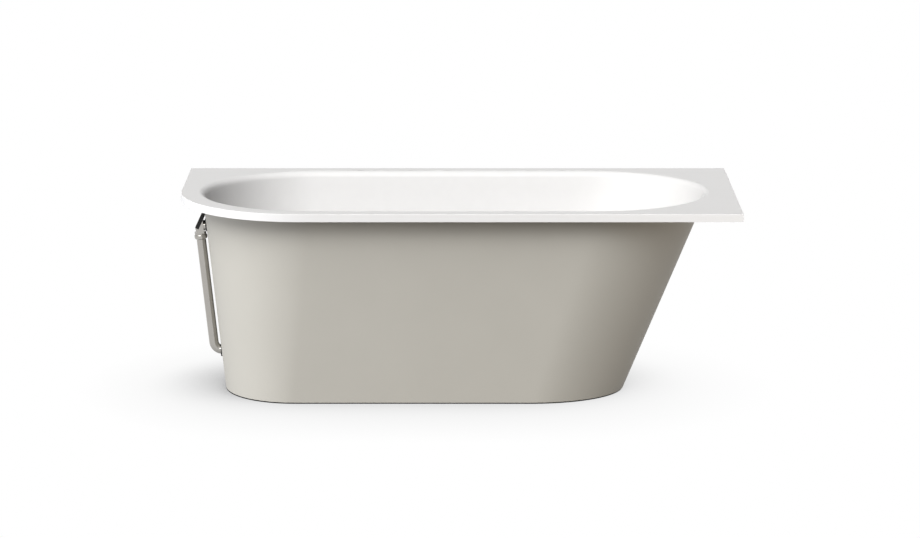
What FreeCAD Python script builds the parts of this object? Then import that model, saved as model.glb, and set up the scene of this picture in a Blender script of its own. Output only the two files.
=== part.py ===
import FreeCAD, Part
import math
import os

# Built-in corner bathtub, in millimetres. +X runs from the foot end to the backrest, +Y points
# at the back wall, +Z is up. The origin is on the floor, under the middle of the rim's rectangle.

# Rim and basin: one formed acrylic sheet
LENGTH = 1700.0
WIDTH = 750.0
HEIGHT = 620.0
CORNER_RADIUS = 375.0
RIM_EDGE = 24.0
SHEET = 5.0
EDGE_ROUND = 2.0
LIP_RADIUS = 22.0
WALL_LEFT = 73.5
WALL_RIGHT = 90.5
WALL_SIDE = 62.0
LEAN_FOOT = 5.93
LEAN_BACK = 22.28
LEAN_SIDE = 8.74
END_FOOT_TOP = 341.0
END_FOOT_BASE = 214.0
END_BACK_TOP = 349.0
END_BACK_BASE = 282.0
FLOOR_Z = 175.0
FLOOR_RADIUS = 70.0

# Outer skin, rim core and base board
BOND_GAP = 0.5
SKIN = 3.0
SKIN_CLEAR = 4.0
SKIN_FLANGE = 30.0
SKIN_BEND = 4.0
CORE_THICKNESS = 14.0
CORE_CLEAR = 0.3
SCREW_COUNT = 16
SCREW_RADIUS = 2.0
SCREW_HEAD_RADIUS = 4.2
SCREW_HEAD = 2.4
SCREW_LENGTH = 14.0
SCREW_INSET = 12.0
BOARD_THICKNESS = 15.0
BOARD_INSET = 66.0
BOARD_HOLE_RADIUS = 52.0
CUTOUT_WIDTH = 220.0
CUTOUT_HEIGHT = 106.0
CUTOUT_RADIUS = 22.0

# Levelling feet
RAIL_LEFT_INSET = 343.92
RAIL_RIGHT_INSET = 175.84
RAIL_LENGTH = 320.0
RAIL_WIDTH = 42.0
RAIL_HEIGHT = 35.0
RAIL_STEEL = 2.0
RAIL_BRIM = 22.0
RAIL_SCREW_INSET = 25.0
FOOT_INSET = 55.0
SPINDLE_RADIUS = 6.0
SPINDLE_TOP_GAP = 7.0
SPINDLE_FLAT = 17.0
SPINDLE_HEX_HEIGHT = 8.0
NUT_FLAT = 19.0
NUT_HEIGHT = 10.0
PAD_RADIUS = 24.0
PAD_NECK_RADIUS = 12.0
PAD_EDGE = 7.0
PAD_HEIGHT = 22.0
PAD_SEAT = 8.0

# Overflow fitting at the foot end
OVERFLOW_DROP = 108.0
OVERFLOW_HOLE = 13.0
SLEEVE_RADIUS = 12.4
SLEEVE_BORE = 9.6
SLEEVE_FLANGE_RADIUS = 27.0
SLEEVE_FLANGE = 3.0
SLEEVE_REACH = 7.0
SPOKE_WIDTH = 3.0
SPOKE_COUNT = 3
HUB_RADIUS = 6.5
INNER_SEAL = 2.0
INNER_SEAL_RADIUS = 24.0
OUTER_SEAL = 3.0
OUTER_SEAL_RADIUS = 20.0
NECK_RADIUS = 15.5
NECK_LENGTH = 6.0
HOOD_HALF_WIDTH = 22.0
HOOD_WALL = 3.0
HOOD_ROUND = 5.0
HOOD_BOTTOM = 22.0
HOOD_FOOT_REACH = 33.0
CAP_TOP = 38.0
CAP_TOP_REACH = 11.0
CAP_LOW = 2.0
CAP_LOW_REACH = 35.0
CAP_THICKNESS = 12.0
CAP_STAND = 2.0
PIPE_STAND = 22.0
SPINDLE_ROD = 4.0
DRUM_RADIUS = 7.0
DRUM_LENGTH = 4.5
DRUM_LIP = 1.1
DRUM_GROOVE = 1.1
DRUM_SLOPE = 0.55
DRUM_OVERHANG = 1.1
KNOB_RADIUS = 34.0
KNOB_FACE_RADIUS = 17.0
KNOB_EDGE = 10.0
KNOB_DOME = 4.0
KNOB_WALL = 2.5
KNOB_GAP = 4.0
KNOB_BOSS_RADIUS = 8.0
GRIP_WIDTH = 11.0
GRIP_HEIGHT = 7.0
GRIP_LENGTH = 50.0
GRIP_ROUND = 2.75

# Overflow pipe, its nuts and the cable inside it
PIPE_RADIUS = 14.5
PIPE_WALL = 1.5
PIPE_BEND = 26.0
PIPE_Z = 117.0
PIPE_SEAT = 10.0
SOCKET_WALL = 3.5
SOCKET_LENGTH = 15.0
NUT_WALL = 2.0
NUT_LIP = 3.0
COLLAR_HEIGHT = 14.0
COLLAR_ROUND = 1.6
SEAL_RING = 2.0
GROMMET_RADIUS = 21.5
GROMMET_HOLE = 19.0
GROMMET_OUTSIDE = 2.0
GROMMET_INSIDE = 8.5
CABLE_RADIUS = 2.5
WIRE_RADIUS = 0.8
BRIDGE_DEPTH = 4.0
FERRULE_RADIUS = 4.0
FERRULE_LENGTH = 3.0

# Waste outlet, plug and lever
DRAIN_INSET = 380.0
DRAIN_HOLE = 26.0
FLANGE_RADIUS = 36.0
FLANGE_THICKNESS = 2.5
FLANGE_ROUND = 1.25
WASTE_SLEEVE_RADIUS = 25.5
WASTE_SLEEVE_WALL = 3.0
WASTE_SLEEVE_LENGTH = 16.0
WASTE_HUB_RADIUS = 8.0
WASTE_HUB_HEIGHT = 5.0
TOP_SEAL = 1.5
TOP_SEAL_RADIUS = 34.5
BOTTOM_SEAL = 3.0
BODY_FLANGE = 4.0
BODY_RADIUS = 32.0
BODY_WALL = 3.5
BODY_FLOOR = 3.0
BODY_BOTTOM_Z = 92.0
PLUG_RADIUS = 31.0
PLUG_EDGE = 3.0
PLUG_DOME = 4.0
PLUG_SHOULDER_RADIUS = 15.5
PLUG_SHOULDER = 3.0
PLUG_SEAL_RADIUS = 28.0
PLUG_SEAL_BORE = 24.5
PLUG_SEAL = 2.0
PLUG_LIFT = 10.0
PLUG_BOSS = 10.0
PLUG_BOSS_RADIUS = 7.0
LIFT_PIN_RADIUS = 4.0
LIFT_FOOT_RADIUS = 1.5
LIFT_FOOT_HEIGHT = 5.0
LEVER_ARM = 20.0
LEVER_TIP_RADIUS = 3.0
LEVER_HUB_RADIUS = 5.5
LEVER_WIDTH = 6.0
LEVER_ARM_HALF = 1.8
LEVER_FLOOR_GAP = 1.0
LEVER_PIN_RADIUS = 2.5
LEVER_PIN_INSET = 0.5
LEVER_PULL_GAP = 7.0

# Trap and outlet pipe
SPIGOT_RADIUS = 20.0
SPIGOT_WALL = 3.0
SPIGOT_LENGTH = 14.0
TRAP_RADIUS = 42.0
TRAP_WALL = 3.0
TRAP_TOP_Z = 78.0
TRAP_RIM_Z = 26.0
DIP_BOTTOM_Z = 20.0
CUP_BOTTOM_Z = 10.0
CUP_WALL = 3.0
CUP_RIM_Z = 31.0
CUP_RIB_COUNT = 12
CUP_RIB_RADIUS = 2.0
OUTLET_Z = 55.5
OUTLET_SOCKET_END = 82.0
OUTLET_PIPE_START = 66.0
OUTLET_PIPE_END = 200.0
OUTLET_INSERT_RADIUS = 19.5

# Fits
RUN_CLEAR = 0.08
FIT_CLEAR = 0.15
SEAT_GAP = 0.3
TOUCH = 0.01
PAST = 1.0

V = FreeCAD.Vector
X_AXIS = V(1, 0, 0)
Y_AXIS = V(0, 1, 0)
Z_AXIS = V(0, 0, 1)
ORIGIN = V(0, 0, 0)
WALL_STACK = SHEET + BOND_GAP + SKIN
RIM_UNDER_Z = HEIGHT - SHEET
CORE_BOTTOM_Z = RIM_UNDER_Z - CORE_THICKNESS
OVERFLOW_Z = HEIGHT - OVERFLOW_DROP
DRAIN_X = DRAIN_INSET - LENGTH / 2


def tangent(degrees):
    return math.tan(math.radians(degrees))


def cosine(degrees):
    return math.cos(math.radians(degrees))


def sine(degrees):
    return math.sin(math.radians(degrees))


def rod(radius, start, end):
    """Plain round bar between two points."""
    run = end - start
    return Part.makeCylinder(radius, run.Length, start, run)


def tube(outer, inner, start, end):
    return rod(outer, start, end).cut(rod(inner, start, end))


def turned(profile, center, axis):
    """Solid of revolution from a closed list of points."""
    face = Part.Face(Part.makePolygon(profile + profile[:1]))
    return face.revolve(center, axis, 360)


def hex_prism(across_flats, bottom, height):
    """Upright hexagonal bar standing on a point."""
    reach = across_flats / 2 / cosine(30)
    corners = [bottom + V(reach * cosine(60 * i), reach * sine(60 * i), 0) for i in range(6)]
    return Part.Face(Part.makePolygon(corners + corners[:1])).extrude(V(0, 0, height))


def joined(first, *others):
    return first.multiFuse(list(others)).removeSplitter()


def edges_at(shape, z):
    """Edges that lie wholly in the level z."""
    return [e for e in shape.Edges
            if abs(e.BoundBox.ZMin - z) < TOUCH and abs(e.BoundBox.ZMax - z) < TOUCH]


def lies_on(edge, wire):
    middle = edge.valueAt((edge.FirstParameter + edge.LastParameter) / 2)
    return wire.distToShape(Part.Vertex(middle))[0] < PAST


# Outlines that the rim, the basin and the skin share


def rim_outline(inset, z):
    """Rim rectangle with its one big round corner, moved inward."""
    x = LENGTH / 2 - inset
    y = WIDTH / 2 - inset
    r = CORNER_RADIUS - inset
    bulge = r - r * cosine(45)
    arc_end = V(-x, r - y, z)
    arc_start = V(r - x, -y, z)
    arc = Part.Arc(arc_end, V(bulge - x, bulge - y, z), arc_start).toShape()
    corners = [arc_start, V(x, -y, z), V(x, y, z), V(-x, y, z), arc_end]
    sides = [Part.makeLine(a, b) for a, b in zip(corners, corners[1:]) if (b - a).Length > TOUCH]
    return Part.Wire([arc] + sides)


def rim_slab(inset, bottom, top):
    return Part.Face(rim_outline(inset, bottom)).extrude(V(0, 0, top - bottom))


def quarter(start, corner, end):
    """Quarter of an ellipse from its two end points and the corner of their tangents."""
    curve = Part.BezierCurve()
    curve.setPoles([start, corner, end])
    curve.setWeight(2, math.sqrt(0.5))
    return curve.toShape()


def foot_end_x(z, outward):
    """Foot end of the wall at a height, moved outward from the basin's inner face."""
    return WALL_LEFT - LENGTH / 2 + (HEIGHT - z) * tangent(LEAN_FOOT) - outward / cosine(LEAN_FOOT)


def back_end_x(z, outward):
    """Backrest end of the wall at a height, moved outward in the same way."""
    return LENGTH / 2 - WALL_RIGHT - (HEIGHT - z) * tangent(LEAN_BACK) + outward / cosine(LEAN_BACK)


def oval(z, outward):
    """Plan of the basin wall at a height: two straight sides and two half ellipses."""
    depth = HEIGHT - z
    fall = depth / HEIGHT
    left = foot_end_x(z, outward)
    right = back_end_x(z, outward)
    half = WIDTH / 2 - WALL_SIDE - depth * tangent(LEAN_SIDE) + outward / cosine(LEAN_SIDE)
    foot = left + END_FOOT_TOP + (END_FOOT_BASE - END_FOOT_TOP) * fall + outward
    back = right - END_BACK_TOP - (END_BACK_BASE - END_BACK_TOP) * fall - outward
    return Part.Wire([
        Part.makeLine(V(foot, -half, z), V(back, -half, z)),
        quarter(V(back, -half, z), V(right, -half, z), V(right, 0, z)),
        quarter(V(right, 0, z), V(right, half, z), V(back, half, z)),
        Part.makeLine(V(back, half, z), V(foot, half, z)),
        quarter(V(foot, half, z), V(left, half, z), V(left, 0, z)),
        quarter(V(left, 0, z), V(left, -half, z), V(foot, -half, z)),
    ])


def basin_form(bottom, top, outward):
    """Tapered block with the basin's plan at every height."""
    return Part.makeLoft([oval(bottom, outward), oval(top, outward)], True, True)


# Frame of the overflow fitting: X outward from the skin, Z up along the wall

OVERFLOW_PLACE = FreeCAD.Placement(
    V(foot_end_x(OVERFLOW_Z, WALL_STACK), 0, OVERFLOW_Z),
    FreeCAD.Rotation(Y_AXIS, -LEAN_FOOT).multiply(FreeCAD.Rotation(Z_AXIS, 180)),
)


def at_overflow(shape):
    placed = shape.copy()
    placed.Placement = OVERFLOW_PLACE.multiply(placed.Placement)
    return placed


def overflow_bar(radius, start, end):
    """Round bar along the overflow's axis, from one distance off the skin to another."""
    return rod(radius, V(start, 0, 0), V(end, 0, 0))


INNER_FACE = -WALL_STACK
SLEEVE_SEAT = INNER_FACE - INNER_SEAL
SLEEVE_FRONT = SLEEVE_SEAT - SLEEVE_FLANGE
HOOD_BACK = OUTER_SEAL + NECK_LENGTH


# Tub shell, rim core and outer skin


def grommet_ends():
    """Axis of the skin's pipe hole, from outside the skin to inside it."""
    face = foot_end_x(PIPE_Z, WALL_STACK)
    return V(face - GROMMET_OUTSIDE, 0, PIPE_Z), V(face + GROMMET_INSIDE, 0, PIPE_Z)


def make_tub_shell():
    """Acrylic sheet formed into a rim with a turned-down edge and a basin with a rounded lip."""
    slab = rim_slab(0, HEIGHT - RIM_EDGE, HEIGHT)
    tray = slab.cut(rim_slab(SHEET, HEIGHT - RIM_EDGE, RIM_UNDER_Z))
    bowl_bottom = FLOOR_Z - SHEET
    bowl = basin_form(bowl_bottom, HEIGHT - SHEET / 2, SHEET)
    bowl = bowl.makeFillet(FLOOR_RADIUS + SHEET, edges_at(bowl, bowl_bottom))
    body = tray.fuse(bowl).removeSplitter()
    tray_edge = rim_outline(SHEET, RIM_UNDER_Z)
    roots = [e for e in edges_at(body, RIM_UNDER_Z) if not lies_on(e, tray_edge)]
    body = body.makeFillet(LIP_RADIUS - SHEET, roots)
    hollow = basin_form(FLOOR_Z, HEIGHT + SHEET, 0)
    hollow = hollow.makeFillet(FLOOR_RADIUS, edges_at(hollow, FLOOR_Z))
    body = body.cut(hollow)
    rim_edge = rim_outline(0, HEIGHT)
    lip = [e for e in edges_at(body, HEIGHT) if not lies_on(e, rim_edge)]
    body = body.makeFillet(LIP_RADIUS, lip)
    outside = [e for e in edges_at(body, HEIGHT) if lies_on(e, rim_edge)]
    body = body.makeFillet(EDGE_ROUND, outside)
    body = body.cut(at_overflow(overflow_bar(OVERFLOW_HOLE, SLEEVE_FRONT, OUTER_SEAL)))
    floor_bottom = V(DRAIN_X, 0, FLOOR_Z - SHEET - PAST)
    return body.cut(rod(DRAIN_HOLE, floor_bottom, V(DRAIN_X, 0, FLOOR_Z + PAST)))


def screw_places():
    """Points round the skin's flange where a screw goes up into the rim core."""
    line = oval(CORE_BOTTOM_Z, WALL_STACK + SKIN_FLANGE - SCREW_INSET)
    return line.discretize(Number=SCREW_COUNT + 1)[:SCREW_COUNT]


def make_rim_core():
    """Board ring under the rim, which stiffens it and takes the skin's screws."""
    ring = rim_slab(SHEET + CORE_CLEAR, CORE_BOTTOM_Z, RIM_UNDER_Z)
    ring = ring.cut(basin_form(CORE_BOTTOM_Z - PAST, RIM_UNDER_Z + PAST, LIP_RADIUS + CORE_CLEAR))
    for place in screw_places():
        ring = ring.cut(rod(SCREW_RADIUS + RUN_CLEAR, place, place + V(0, 0, SCREW_LENGTH)))
    return ring


def make_outer_skin():
    """Tapered skirt round the basin, with a flange under the rim and a cut-out for the drain."""
    flange_top = CORE_BOTTOM_Z
    flange_bottom = flange_top - SKIN
    wall = basin_form(SKIN_CLEAR, flange_top, WALL_STACK)
    flange = Part.Face(oval(flange_bottom, WALL_STACK + SKIN_FLANGE)).extrude(V(0, 0, SKIN))
    skin = wall.fuse(flange).removeSplitter()
    rim_line = oval(flange_bottom, WALL_STACK + SKIN_FLANGE)
    root = [e for e in edges_at(skin, flange_bottom) if not lies_on(e, rim_line)]
    skin = skin.makeFillet(SKIN_BEND, root)
    skin = skin.cut(basin_form(0, HEIGHT, SHEET + BOND_GAP))
    skin = skin.cut(at_overflow(overflow_bar(OVERFLOW_HOLE, INNER_FACE, OUTER_SEAL)))
    skin = skin.cut(rod(GROMMET_HOLE, *grommet_ends()))
    corner = V(DRAIN_X - CUTOUT_WIDTH / 2, 0, -CUTOUT_HEIGHT)
    cutout = Part.makeBox(CUTOUT_WIDTH, WIDTH / 2, 2 * CUTOUT_HEIGHT, corner)
    shoulders = [e for e in edges_at(cutout, CUTOUT_HEIGHT) if e.BoundBox.YLength > PAST]
    skin = skin.cut(cutout.makeFillet(CUTOUT_RADIUS, shoulders))
    for place in screw_places():
        skin = skin.cut(rod(SCREW_RADIUS + FIT_CLEAR, place - V(0, 0, 2 * SKIN), place))
    return skin


def make_skin_screws():
    screws = []
    for place in screw_places():
        seat = place - V(0, 0, SKIN)
        head = rod(SCREW_HEAD_RADIUS, seat - V(0, 0, SCREW_HEAD), seat)
        screws.append(joined(head, rod(SCREW_RADIUS, seat, seat + V(0, 0, SCREW_LENGTH))))
    return Part.makeCompound(screws)


BOARD_TOP = FLOOR_Z - SHEET
BOARD_BOTTOM = BOARD_TOP - BOARD_THICKNESS


def make_base_board():
    board = Part.Face(oval(FLOOR_Z, -BOARD_INSET)).extrude(V(0, 0, BOARD_THICKNESS))
    board.translate(V(0, 0, BOARD_BOTTOM - FLOOR_Z))
    hole_bottom = V(DRAIN_X, 0, BOARD_BOTTOM - PAST)
    board = board.cut(rod(BOARD_HOLE_RADIUS, hole_bottom, V(DRAIN_X, 0, BOARD_TOP + PAST)))
    for place in rail_screw_places():
        screw_end = place + V(0, 0, SCREW_LENGTH - RAIL_STEEL)
        board = board.cut(rod(SCREW_RADIUS + RUN_CLEAR, place, screw_end))
    return board


# Levelling feet

WEB_BOTTOM = BOARD_BOTTOM - RAIL_HEIGHT
WEB_TOP = WEB_BOTTOM + RAIL_STEEL
RAIL_LEFT_X = foot_end_x(FLOOR_Z, -BOARD_INSET) + RAIL_LEFT_INSET
RAIL_RIGHT_X = back_end_x(FLOOR_Z, -BOARD_INSET) - RAIL_RIGHT_INSET
RAIL_SCREW_Y = RAIL_LENGTH / 2 - RAIL_SCREW_INSET
FOOT_Y = RAIL_LENGTH / 2 - FOOT_INSET
RAIL_XS = [RAIL_LEFT_X, RAIL_RIGHT_X]
FOOT_PLACES = [V(x, y, 0) for x in RAIL_XS for y in (-FOOT_Y, FOOT_Y)]


def rail_screw_places():
    brim = RAIL_WIDTH / 2 + RAIL_BRIM / 2
    return [V(x + side * brim, y, BOARD_BOTTOM)
            for x in RAIL_XS for side in (-1, 1) for y in (-RAIL_SCREW_Y, RAIL_SCREW_Y)]


def make_rail(x):
    """Hat-section steel rail under the base board."""
    half = RAIL_WIDTH / 2
    brim = half + RAIL_BRIM
    inner = half - RAIL_STEEL
    under = BOARD_BOTTOM - RAIL_STEEL
    side = [(brim, BOARD_BOTTOM), (inner, BOARD_BOTTOM), (inner, WEB_TOP)]
    back = [(half, WEB_BOTTOM), (half, under), (brim, under)]
    right = side + [(-a, b) for a, b in reversed(side)]
    left = [(-a, b) for a, b in reversed(back)] + back
    corners = [V(x + a, -RAIL_LENGTH / 2, b) for a, b in right + left]
    rail = Part.Face(Part.makePolygon(corners + corners[:1])).extrude(V(0, RAIL_LENGTH, 0))
    for y in (-FOOT_Y, FOOT_Y):
        hole_bottom = V(x, y, WEB_BOTTOM - PAST)
        rail = rail.cut(rod(SPINDLE_RADIUS + FIT_CLEAR, hole_bottom, V(x, y, WEB_TOP + PAST)))
    for place in rail_screw_places():
        rail = rail.cut(rod(SCREW_RADIUS + FIT_CLEAR, place - V(0, 0, 2 * RAIL_STEEL), place))
    return rail


def make_rail_screws():
    screws = []
    for place in rail_screw_places():
        seat = place - V(0, 0, RAIL_STEEL)
        head = rod(SCREW_HEAD_RADIUS, seat - V(0, 0, SCREW_HEAD), seat)
        shank = rod(SCREW_RADIUS, seat, seat + V(0, 0, SCREW_LENGTH - RAIL_STEEL))
        screws.append(joined(head, shank))
    return Part.makeCompound(screws)


def make_foot_nuts():
    """A weld nut on the rail's web and a lock nut under it, at each foot."""
    nuts = []
    for place in FOOT_PLACES:
        for bottom in (WEB_TOP, WEB_BOTTOM - NUT_HEIGHT):
            seat = place + V(0, 0, bottom)
            bore = rod(SPINDLE_RADIUS + RUN_CLEAR, seat, seat + V(0, 0, NUT_HEIGHT))
            nuts.append(hex_prism(NUT_FLAT, seat, NUT_HEIGHT).cut(bore))
    return Part.makeCompound(nuts)


def make_foot_spindle(place):
    top = place + V(0, 0, BOARD_BOTTOM - SPINDLE_TOP_GAP)
    screw = rod(SPINDLE_RADIUS, place + V(0, 0, PAD_SEAT), top)
    return joined(screw, hex_prism(SPINDLE_FLAT, place + V(0, 0, PAD_HEIGHT), SPINDLE_HEX_HEIGHT))


def make_foot_pad(place):
    """Moulded foot: a flat base, a sloped shoulder and a neck that takes the spindle."""
    bore = SPINDLE_RADIUS + RUN_CLEAR
    profile = [(0, 0), (PAD_RADIUS, 0), (PAD_RADIUS, PAD_EDGE), (PAD_NECK_RADIUS, PAD_HEIGHT),
               (bore, PAD_HEIGHT), (bore, PAD_SEAT), (0, PAD_SEAT)]
    return turned([place + V(r, 0, z) for r, z in profile], place, Z_AXIS)


# Overflow inlet and the knob

PIPE_TOP = -HOOD_BOTTOM - BRIDGE_DEPTH
SOCKET_RADIUS = PIPE_RADIUS + SOCKET_WALL
SOCKET_END = -HOOD_BOTTOM - SOCKET_LENGTH
NUT_RADIUS = SOCKET_RADIUS + NUT_WALL


def make_overflow_seal(wall, radius, start, end):
    """Rubber ring from its free face to the curved wall it follows, a clearance off it."""
    ring = tube(radius, OVERFLOW_HOLE, V(start, 0, 0), V(end, 0, 0))
    way = math.copysign(RUN_CLEAR, start - end)
    near = wall.translated(OVERFLOW_PLACE.Rotation.multVec(X_AXIS) * way)
    return at_overflow(ring).cut(near)


def make_overflow_sleeve():
    """Threaded sleeve with a flange in the basin and a spoked hub for the knob's spindle."""
    end = HOOD_BACK + SLEEVE_REACH
    depth = INNER_FACE - SLEEVE_FRONT
    flange = overflow_bar(SLEEVE_FLANGE_RADIUS, SLEEVE_FRONT, SLEEVE_SEAT)
    sleeve = joined(flange, overflow_bar(SLEEVE_RADIUS, SLEEVE_FRONT, end))
    sleeve = sleeve.cut(overflow_bar(SLEEVE_BORE, SLEEVE_FRONT - PAST, end + PAST))
    hub = overflow_bar(HUB_RADIUS, SLEEVE_FRONT, INNER_FACE)
    spoke_corner = V(SLEEVE_FRONT, -SPOKE_WIDTH / 2, 0)
    for i in range(SPOKE_COUNT):
        spoke = Part.makeBox(depth, SPOKE_WIDTH, SLEEVE_BORE + PAST, spoke_corner)
        spoke.rotate(ORIGIN, X_AXIS, 360 * i / SPOKE_COUNT)
        hub = hub.fuse(spoke)
    sleeve = joined(sleeve, hub)
    bore = overflow_bar(SPINDLE_ROD + RUN_CLEAR, SLEEVE_FRONT - PAST, INNER_FACE + PAST)
    return at_overflow(sleeve.cut(bore))


KNOB_BACK = SLEEVE_FRONT - KNOB_GAP
KNOB_FRONT = KNOB_BACK - KNOB_EDGE
SPINDLE_START = KNOB_FRONT + KNOB_WALL


def make_overflow_knob():
    """Hollow turned knob with a domed face, a grip bar across it and a boss for the spindle."""
    bore = SPINDLE_ROD + RUN_CLEAR
    inner = KNOB_RADIUS - KNOB_WALL
    face = KNOB_FRONT - KNOB_DOME
    profile = [(face, 0), (face, KNOB_FACE_RADIUS), (KNOB_FRONT, inner),
               (SPINDLE_START, KNOB_RADIUS), (KNOB_BACK, KNOB_RADIUS), (KNOB_BACK, inner),
               (SPINDLE_START, inner), (SPINDLE_START, KNOB_BOSS_RADIUS),
               (KNOB_BACK, KNOB_BOSS_RADIUS), (KNOB_BACK, bore), (SPINDLE_START, bore),
               (SPINDLE_START, 0)]
    knob = turned([V(u, r, 0) for u, r in profile], ORIGIN, X_AXIS)
    front = face - GRIP_HEIGHT
    corner = V(front, -GRIP_WIDTH / 2, -GRIP_LENGTH / 2)
    grip = Part.makeBox(GRIP_HEIGHT + KNOB_DOME, GRIP_WIDTH, GRIP_LENGTH, corner)
    free = [e for e in grip.Edges if e.BoundBox.XMax < face or e.BoundBox.XLength > PAST]
    return at_overflow(joined(knob, grip.makeFillet(GRIP_ROUND, free)))


DRUM_END = PIPE_STAND + DRUM_OVERHANG
DRUM_START = DRUM_END - DRUM_LENGTH


def make_knob_spindle():
    return at_overflow(overflow_bar(SPINDLE_ROD, SPINDLE_START, DRUM_START))


def make_cable_drum():
    """Grooved drum on the spindle's outer end, which winds the pull wire."""
    groove = DRUM_RADIUS - DRUM_GROOVE
    slope = DRUM_LIP + DRUM_SLOPE
    profile = [(DRUM_START, 0), (DRUM_START, DRUM_RADIUS), (DRUM_START + DRUM_LIP, DRUM_RADIUS),
               (DRUM_START + slope, groove), (DRUM_END - slope, groove),
               (DRUM_END - DRUM_LIP, DRUM_RADIUS), (DRUM_END, DRUM_RADIUS), (DRUM_END, 0)]
    return at_overflow(turned([V(u, r, 0) for u, r in profile], ORIGIN, X_AXIS))


# Hood outside the foot end

CAP_SLOPE = V(CAP_LOW_REACH - CAP_TOP_REACH, 0, -CAP_LOW - CAP_TOP)
CAP_INWARD = V(CAP_SLOPE.z, 0, -CAP_SLOPE.x).normalize()


def side_prism(points, half_width):
    """Block with a side outline, given as distance off the skin and height along the wall."""
    corners = [V(p.x, -half_width, p.z) for p in points]
    return Part.Face(Part.makePolygon(corners + corners[:1])).extrude(V(0, 2 * half_width, 0))


def on_slope(reach, depth):
    """Point at a distance off the skin on the cap's sloped face, moved into the hood."""
    start = V(CAP_TOP_REACH, 0, CAP_TOP) + CAP_INWARD * depth
    return start + CAP_SLOPE * ((reach - start.x) / CAP_SLOPE.x)


def cap_low_corner(depth):
    return V(CAP_LOW_REACH, 0, -CAP_LOW) + CAP_INWARD * depth


def hood_cavity():
    back = HOOD_BACK + HOOD_WALL
    low = HOOD_WALL - HOOD_BOTTOM
    front = HOOD_FOOT_REACH - HOOD_WALL
    outline = [on_slope(back, HOOD_WALL), cap_low_corner(HOOD_WALL), V(front, 0, low), V(back, 0, low)]
    return side_prism(outline, HOOD_HALF_WIDTH - HOOD_WALL)


def outer_edges(block):
    """Edges along the sides of a hood piece, on the faces turned away from the wall."""
    limit = HOOD_HALF_WIDTH - TOUCH
    sides = [e for e in block.Edges if e.BoundBox.YMax < -limit or e.BoundBox.YMin > limit]
    return [e for e in sides if e.BoundBox.XMax > HOOD_BACK + PAST]


def make_overflow_hood():
    """Cast elbow: a neck on the wall, a box that the cap closes and a socket for the pipe."""
    outline = [on_slope(HOOD_BACK, CAP_THICKNESS), cap_low_corner(CAP_THICKNESS), cap_low_corner(0),
               V(HOOD_FOOT_REACH, 0, -HOOD_BOTTOM), V(HOOD_BACK, 0, -HOOD_BOTTOM)]
    box = side_prism(outline, HOOD_HALF_WIDTH)
    upright = [e for e in outer_edges(box)
               if e.BoundBox.ZMax < 0 and e.BoundBox.ZLength > 2 * HOOD_ROUND]
    box = box.makeFillet(HOOD_ROUND, upright)
    neck = overflow_bar(NECK_RADIUS, OUTER_SEAL, HOOD_BACK)
    on_pipe = V(PIPE_STAND, 0, 0)
    pipe_top = V(PIPE_STAND, 0, PIPE_TOP)
    socket_end = V(PIPE_STAND, 0, SOCKET_END)
    hood_floor = V(PIPE_STAND, 0, HOOD_WALL - HOOD_BOTTOM)
    past = Z_AXIS * PAST
    side = X_AXIS * FERRULE_RADIUS
    hood = joined(box, neck, rod(SOCKET_RADIUS, hood_floor, socket_end)).cut(hood_cavity())
    hood = hood.cut(overflow_bar(SLEEVE_RADIUS + RUN_CLEAR, 0, HOOD_BACK + HOOD_WALL + PAST))
    hood = hood.cut(rod(PIPE_RADIUS + RUN_CLEAR, pipe_top, socket_end - past))
    passage = rod(PIPE_RADIUS - PIPE_WALL, pipe_top, hood_floor + past)
    corners = [pipe_top - side, pipe_top + side, hood_floor + side, hood_floor - side]
    hood = hood.cut(passage.cut(side_prism(corners, PIPE_RADIUS)))
    return at_overflow(hood.cut(rod(CABLE_RADIUS + RUN_CLEAR, socket_end, on_pipe)))


def make_overflow_cap():
    """Moulded cover over the hood's sloped open side."""
    top = V(CAP_STAND, 0, CAP_TOP)
    outline = [top, V(CAP_TOP_REACH, 0, CAP_TOP), cap_low_corner(0),
               cap_low_corner(CAP_THICKNESS), on_slope(CAP_STAND, CAP_THICKNESS)]
    block = side_prism(outline, HOOD_HALF_WIDTH)
    return at_overflow(block.cut(hood_cavity()))


# Pipe from the hood to the waste, with the cable inside

WASTE_INLET_X = DRAIN_X - BODY_RADIUS - SOCKET_LENGTH
PIPE_END_X = WASTE_INLET_X + PIPE_SEAT


def pipe_path(top, end_x):
    """Straight fall along the wall, a bend and a level run to the waste."""
    start = OVERFLOW_PLACE.multVec(V(PIPE_STAND, 0, top))
    down = OVERFLOW_PLACE.Rotation.multVec(-Z_AXIS)
    corner = start + down * ((PIPE_Z - start.z) / down.z)
    setback = PIPE_BEND * math.tan(down.getAngle(X_AXIS) / 2)
    bend_start = corner - down * setback
    bend_end = corner + X_AXIS * setback
    middle_way = (X_AXIS - down).normalize()
    center_gap = math.hypot(PIPE_BEND, setback)
    middle = corner + middle_way * (center_gap - PIPE_BEND)
    end = V(end_x, 0, PIPE_Z)
    bend = Part.Arc(bend_start, middle, bend_end).toShape()
    return [Part.makeLine(start, bend_start), bend, Part.makeLine(bend_end, end)]


def swept_round(radius, top, end_x):
    path = Part.Wire(pipe_path(top, end_x))
    fall = path.Edges[0]
    first = fall.FirstParameter
    circle = Part.makeCircle(radius, fall.valueAt(first), fall.tangentAt(first))
    return path.makePipeShell([Part.Wire(circle)], True, False)


def make_overflow_pipe():
    hollow = swept_round(PIPE_RADIUS - PIPE_WALL, PIPE_TOP, PIPE_END_X)
    return swept_round(PIPE_RADIUS, PIPE_TOP, PIPE_END_X).cut(hollow)


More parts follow.
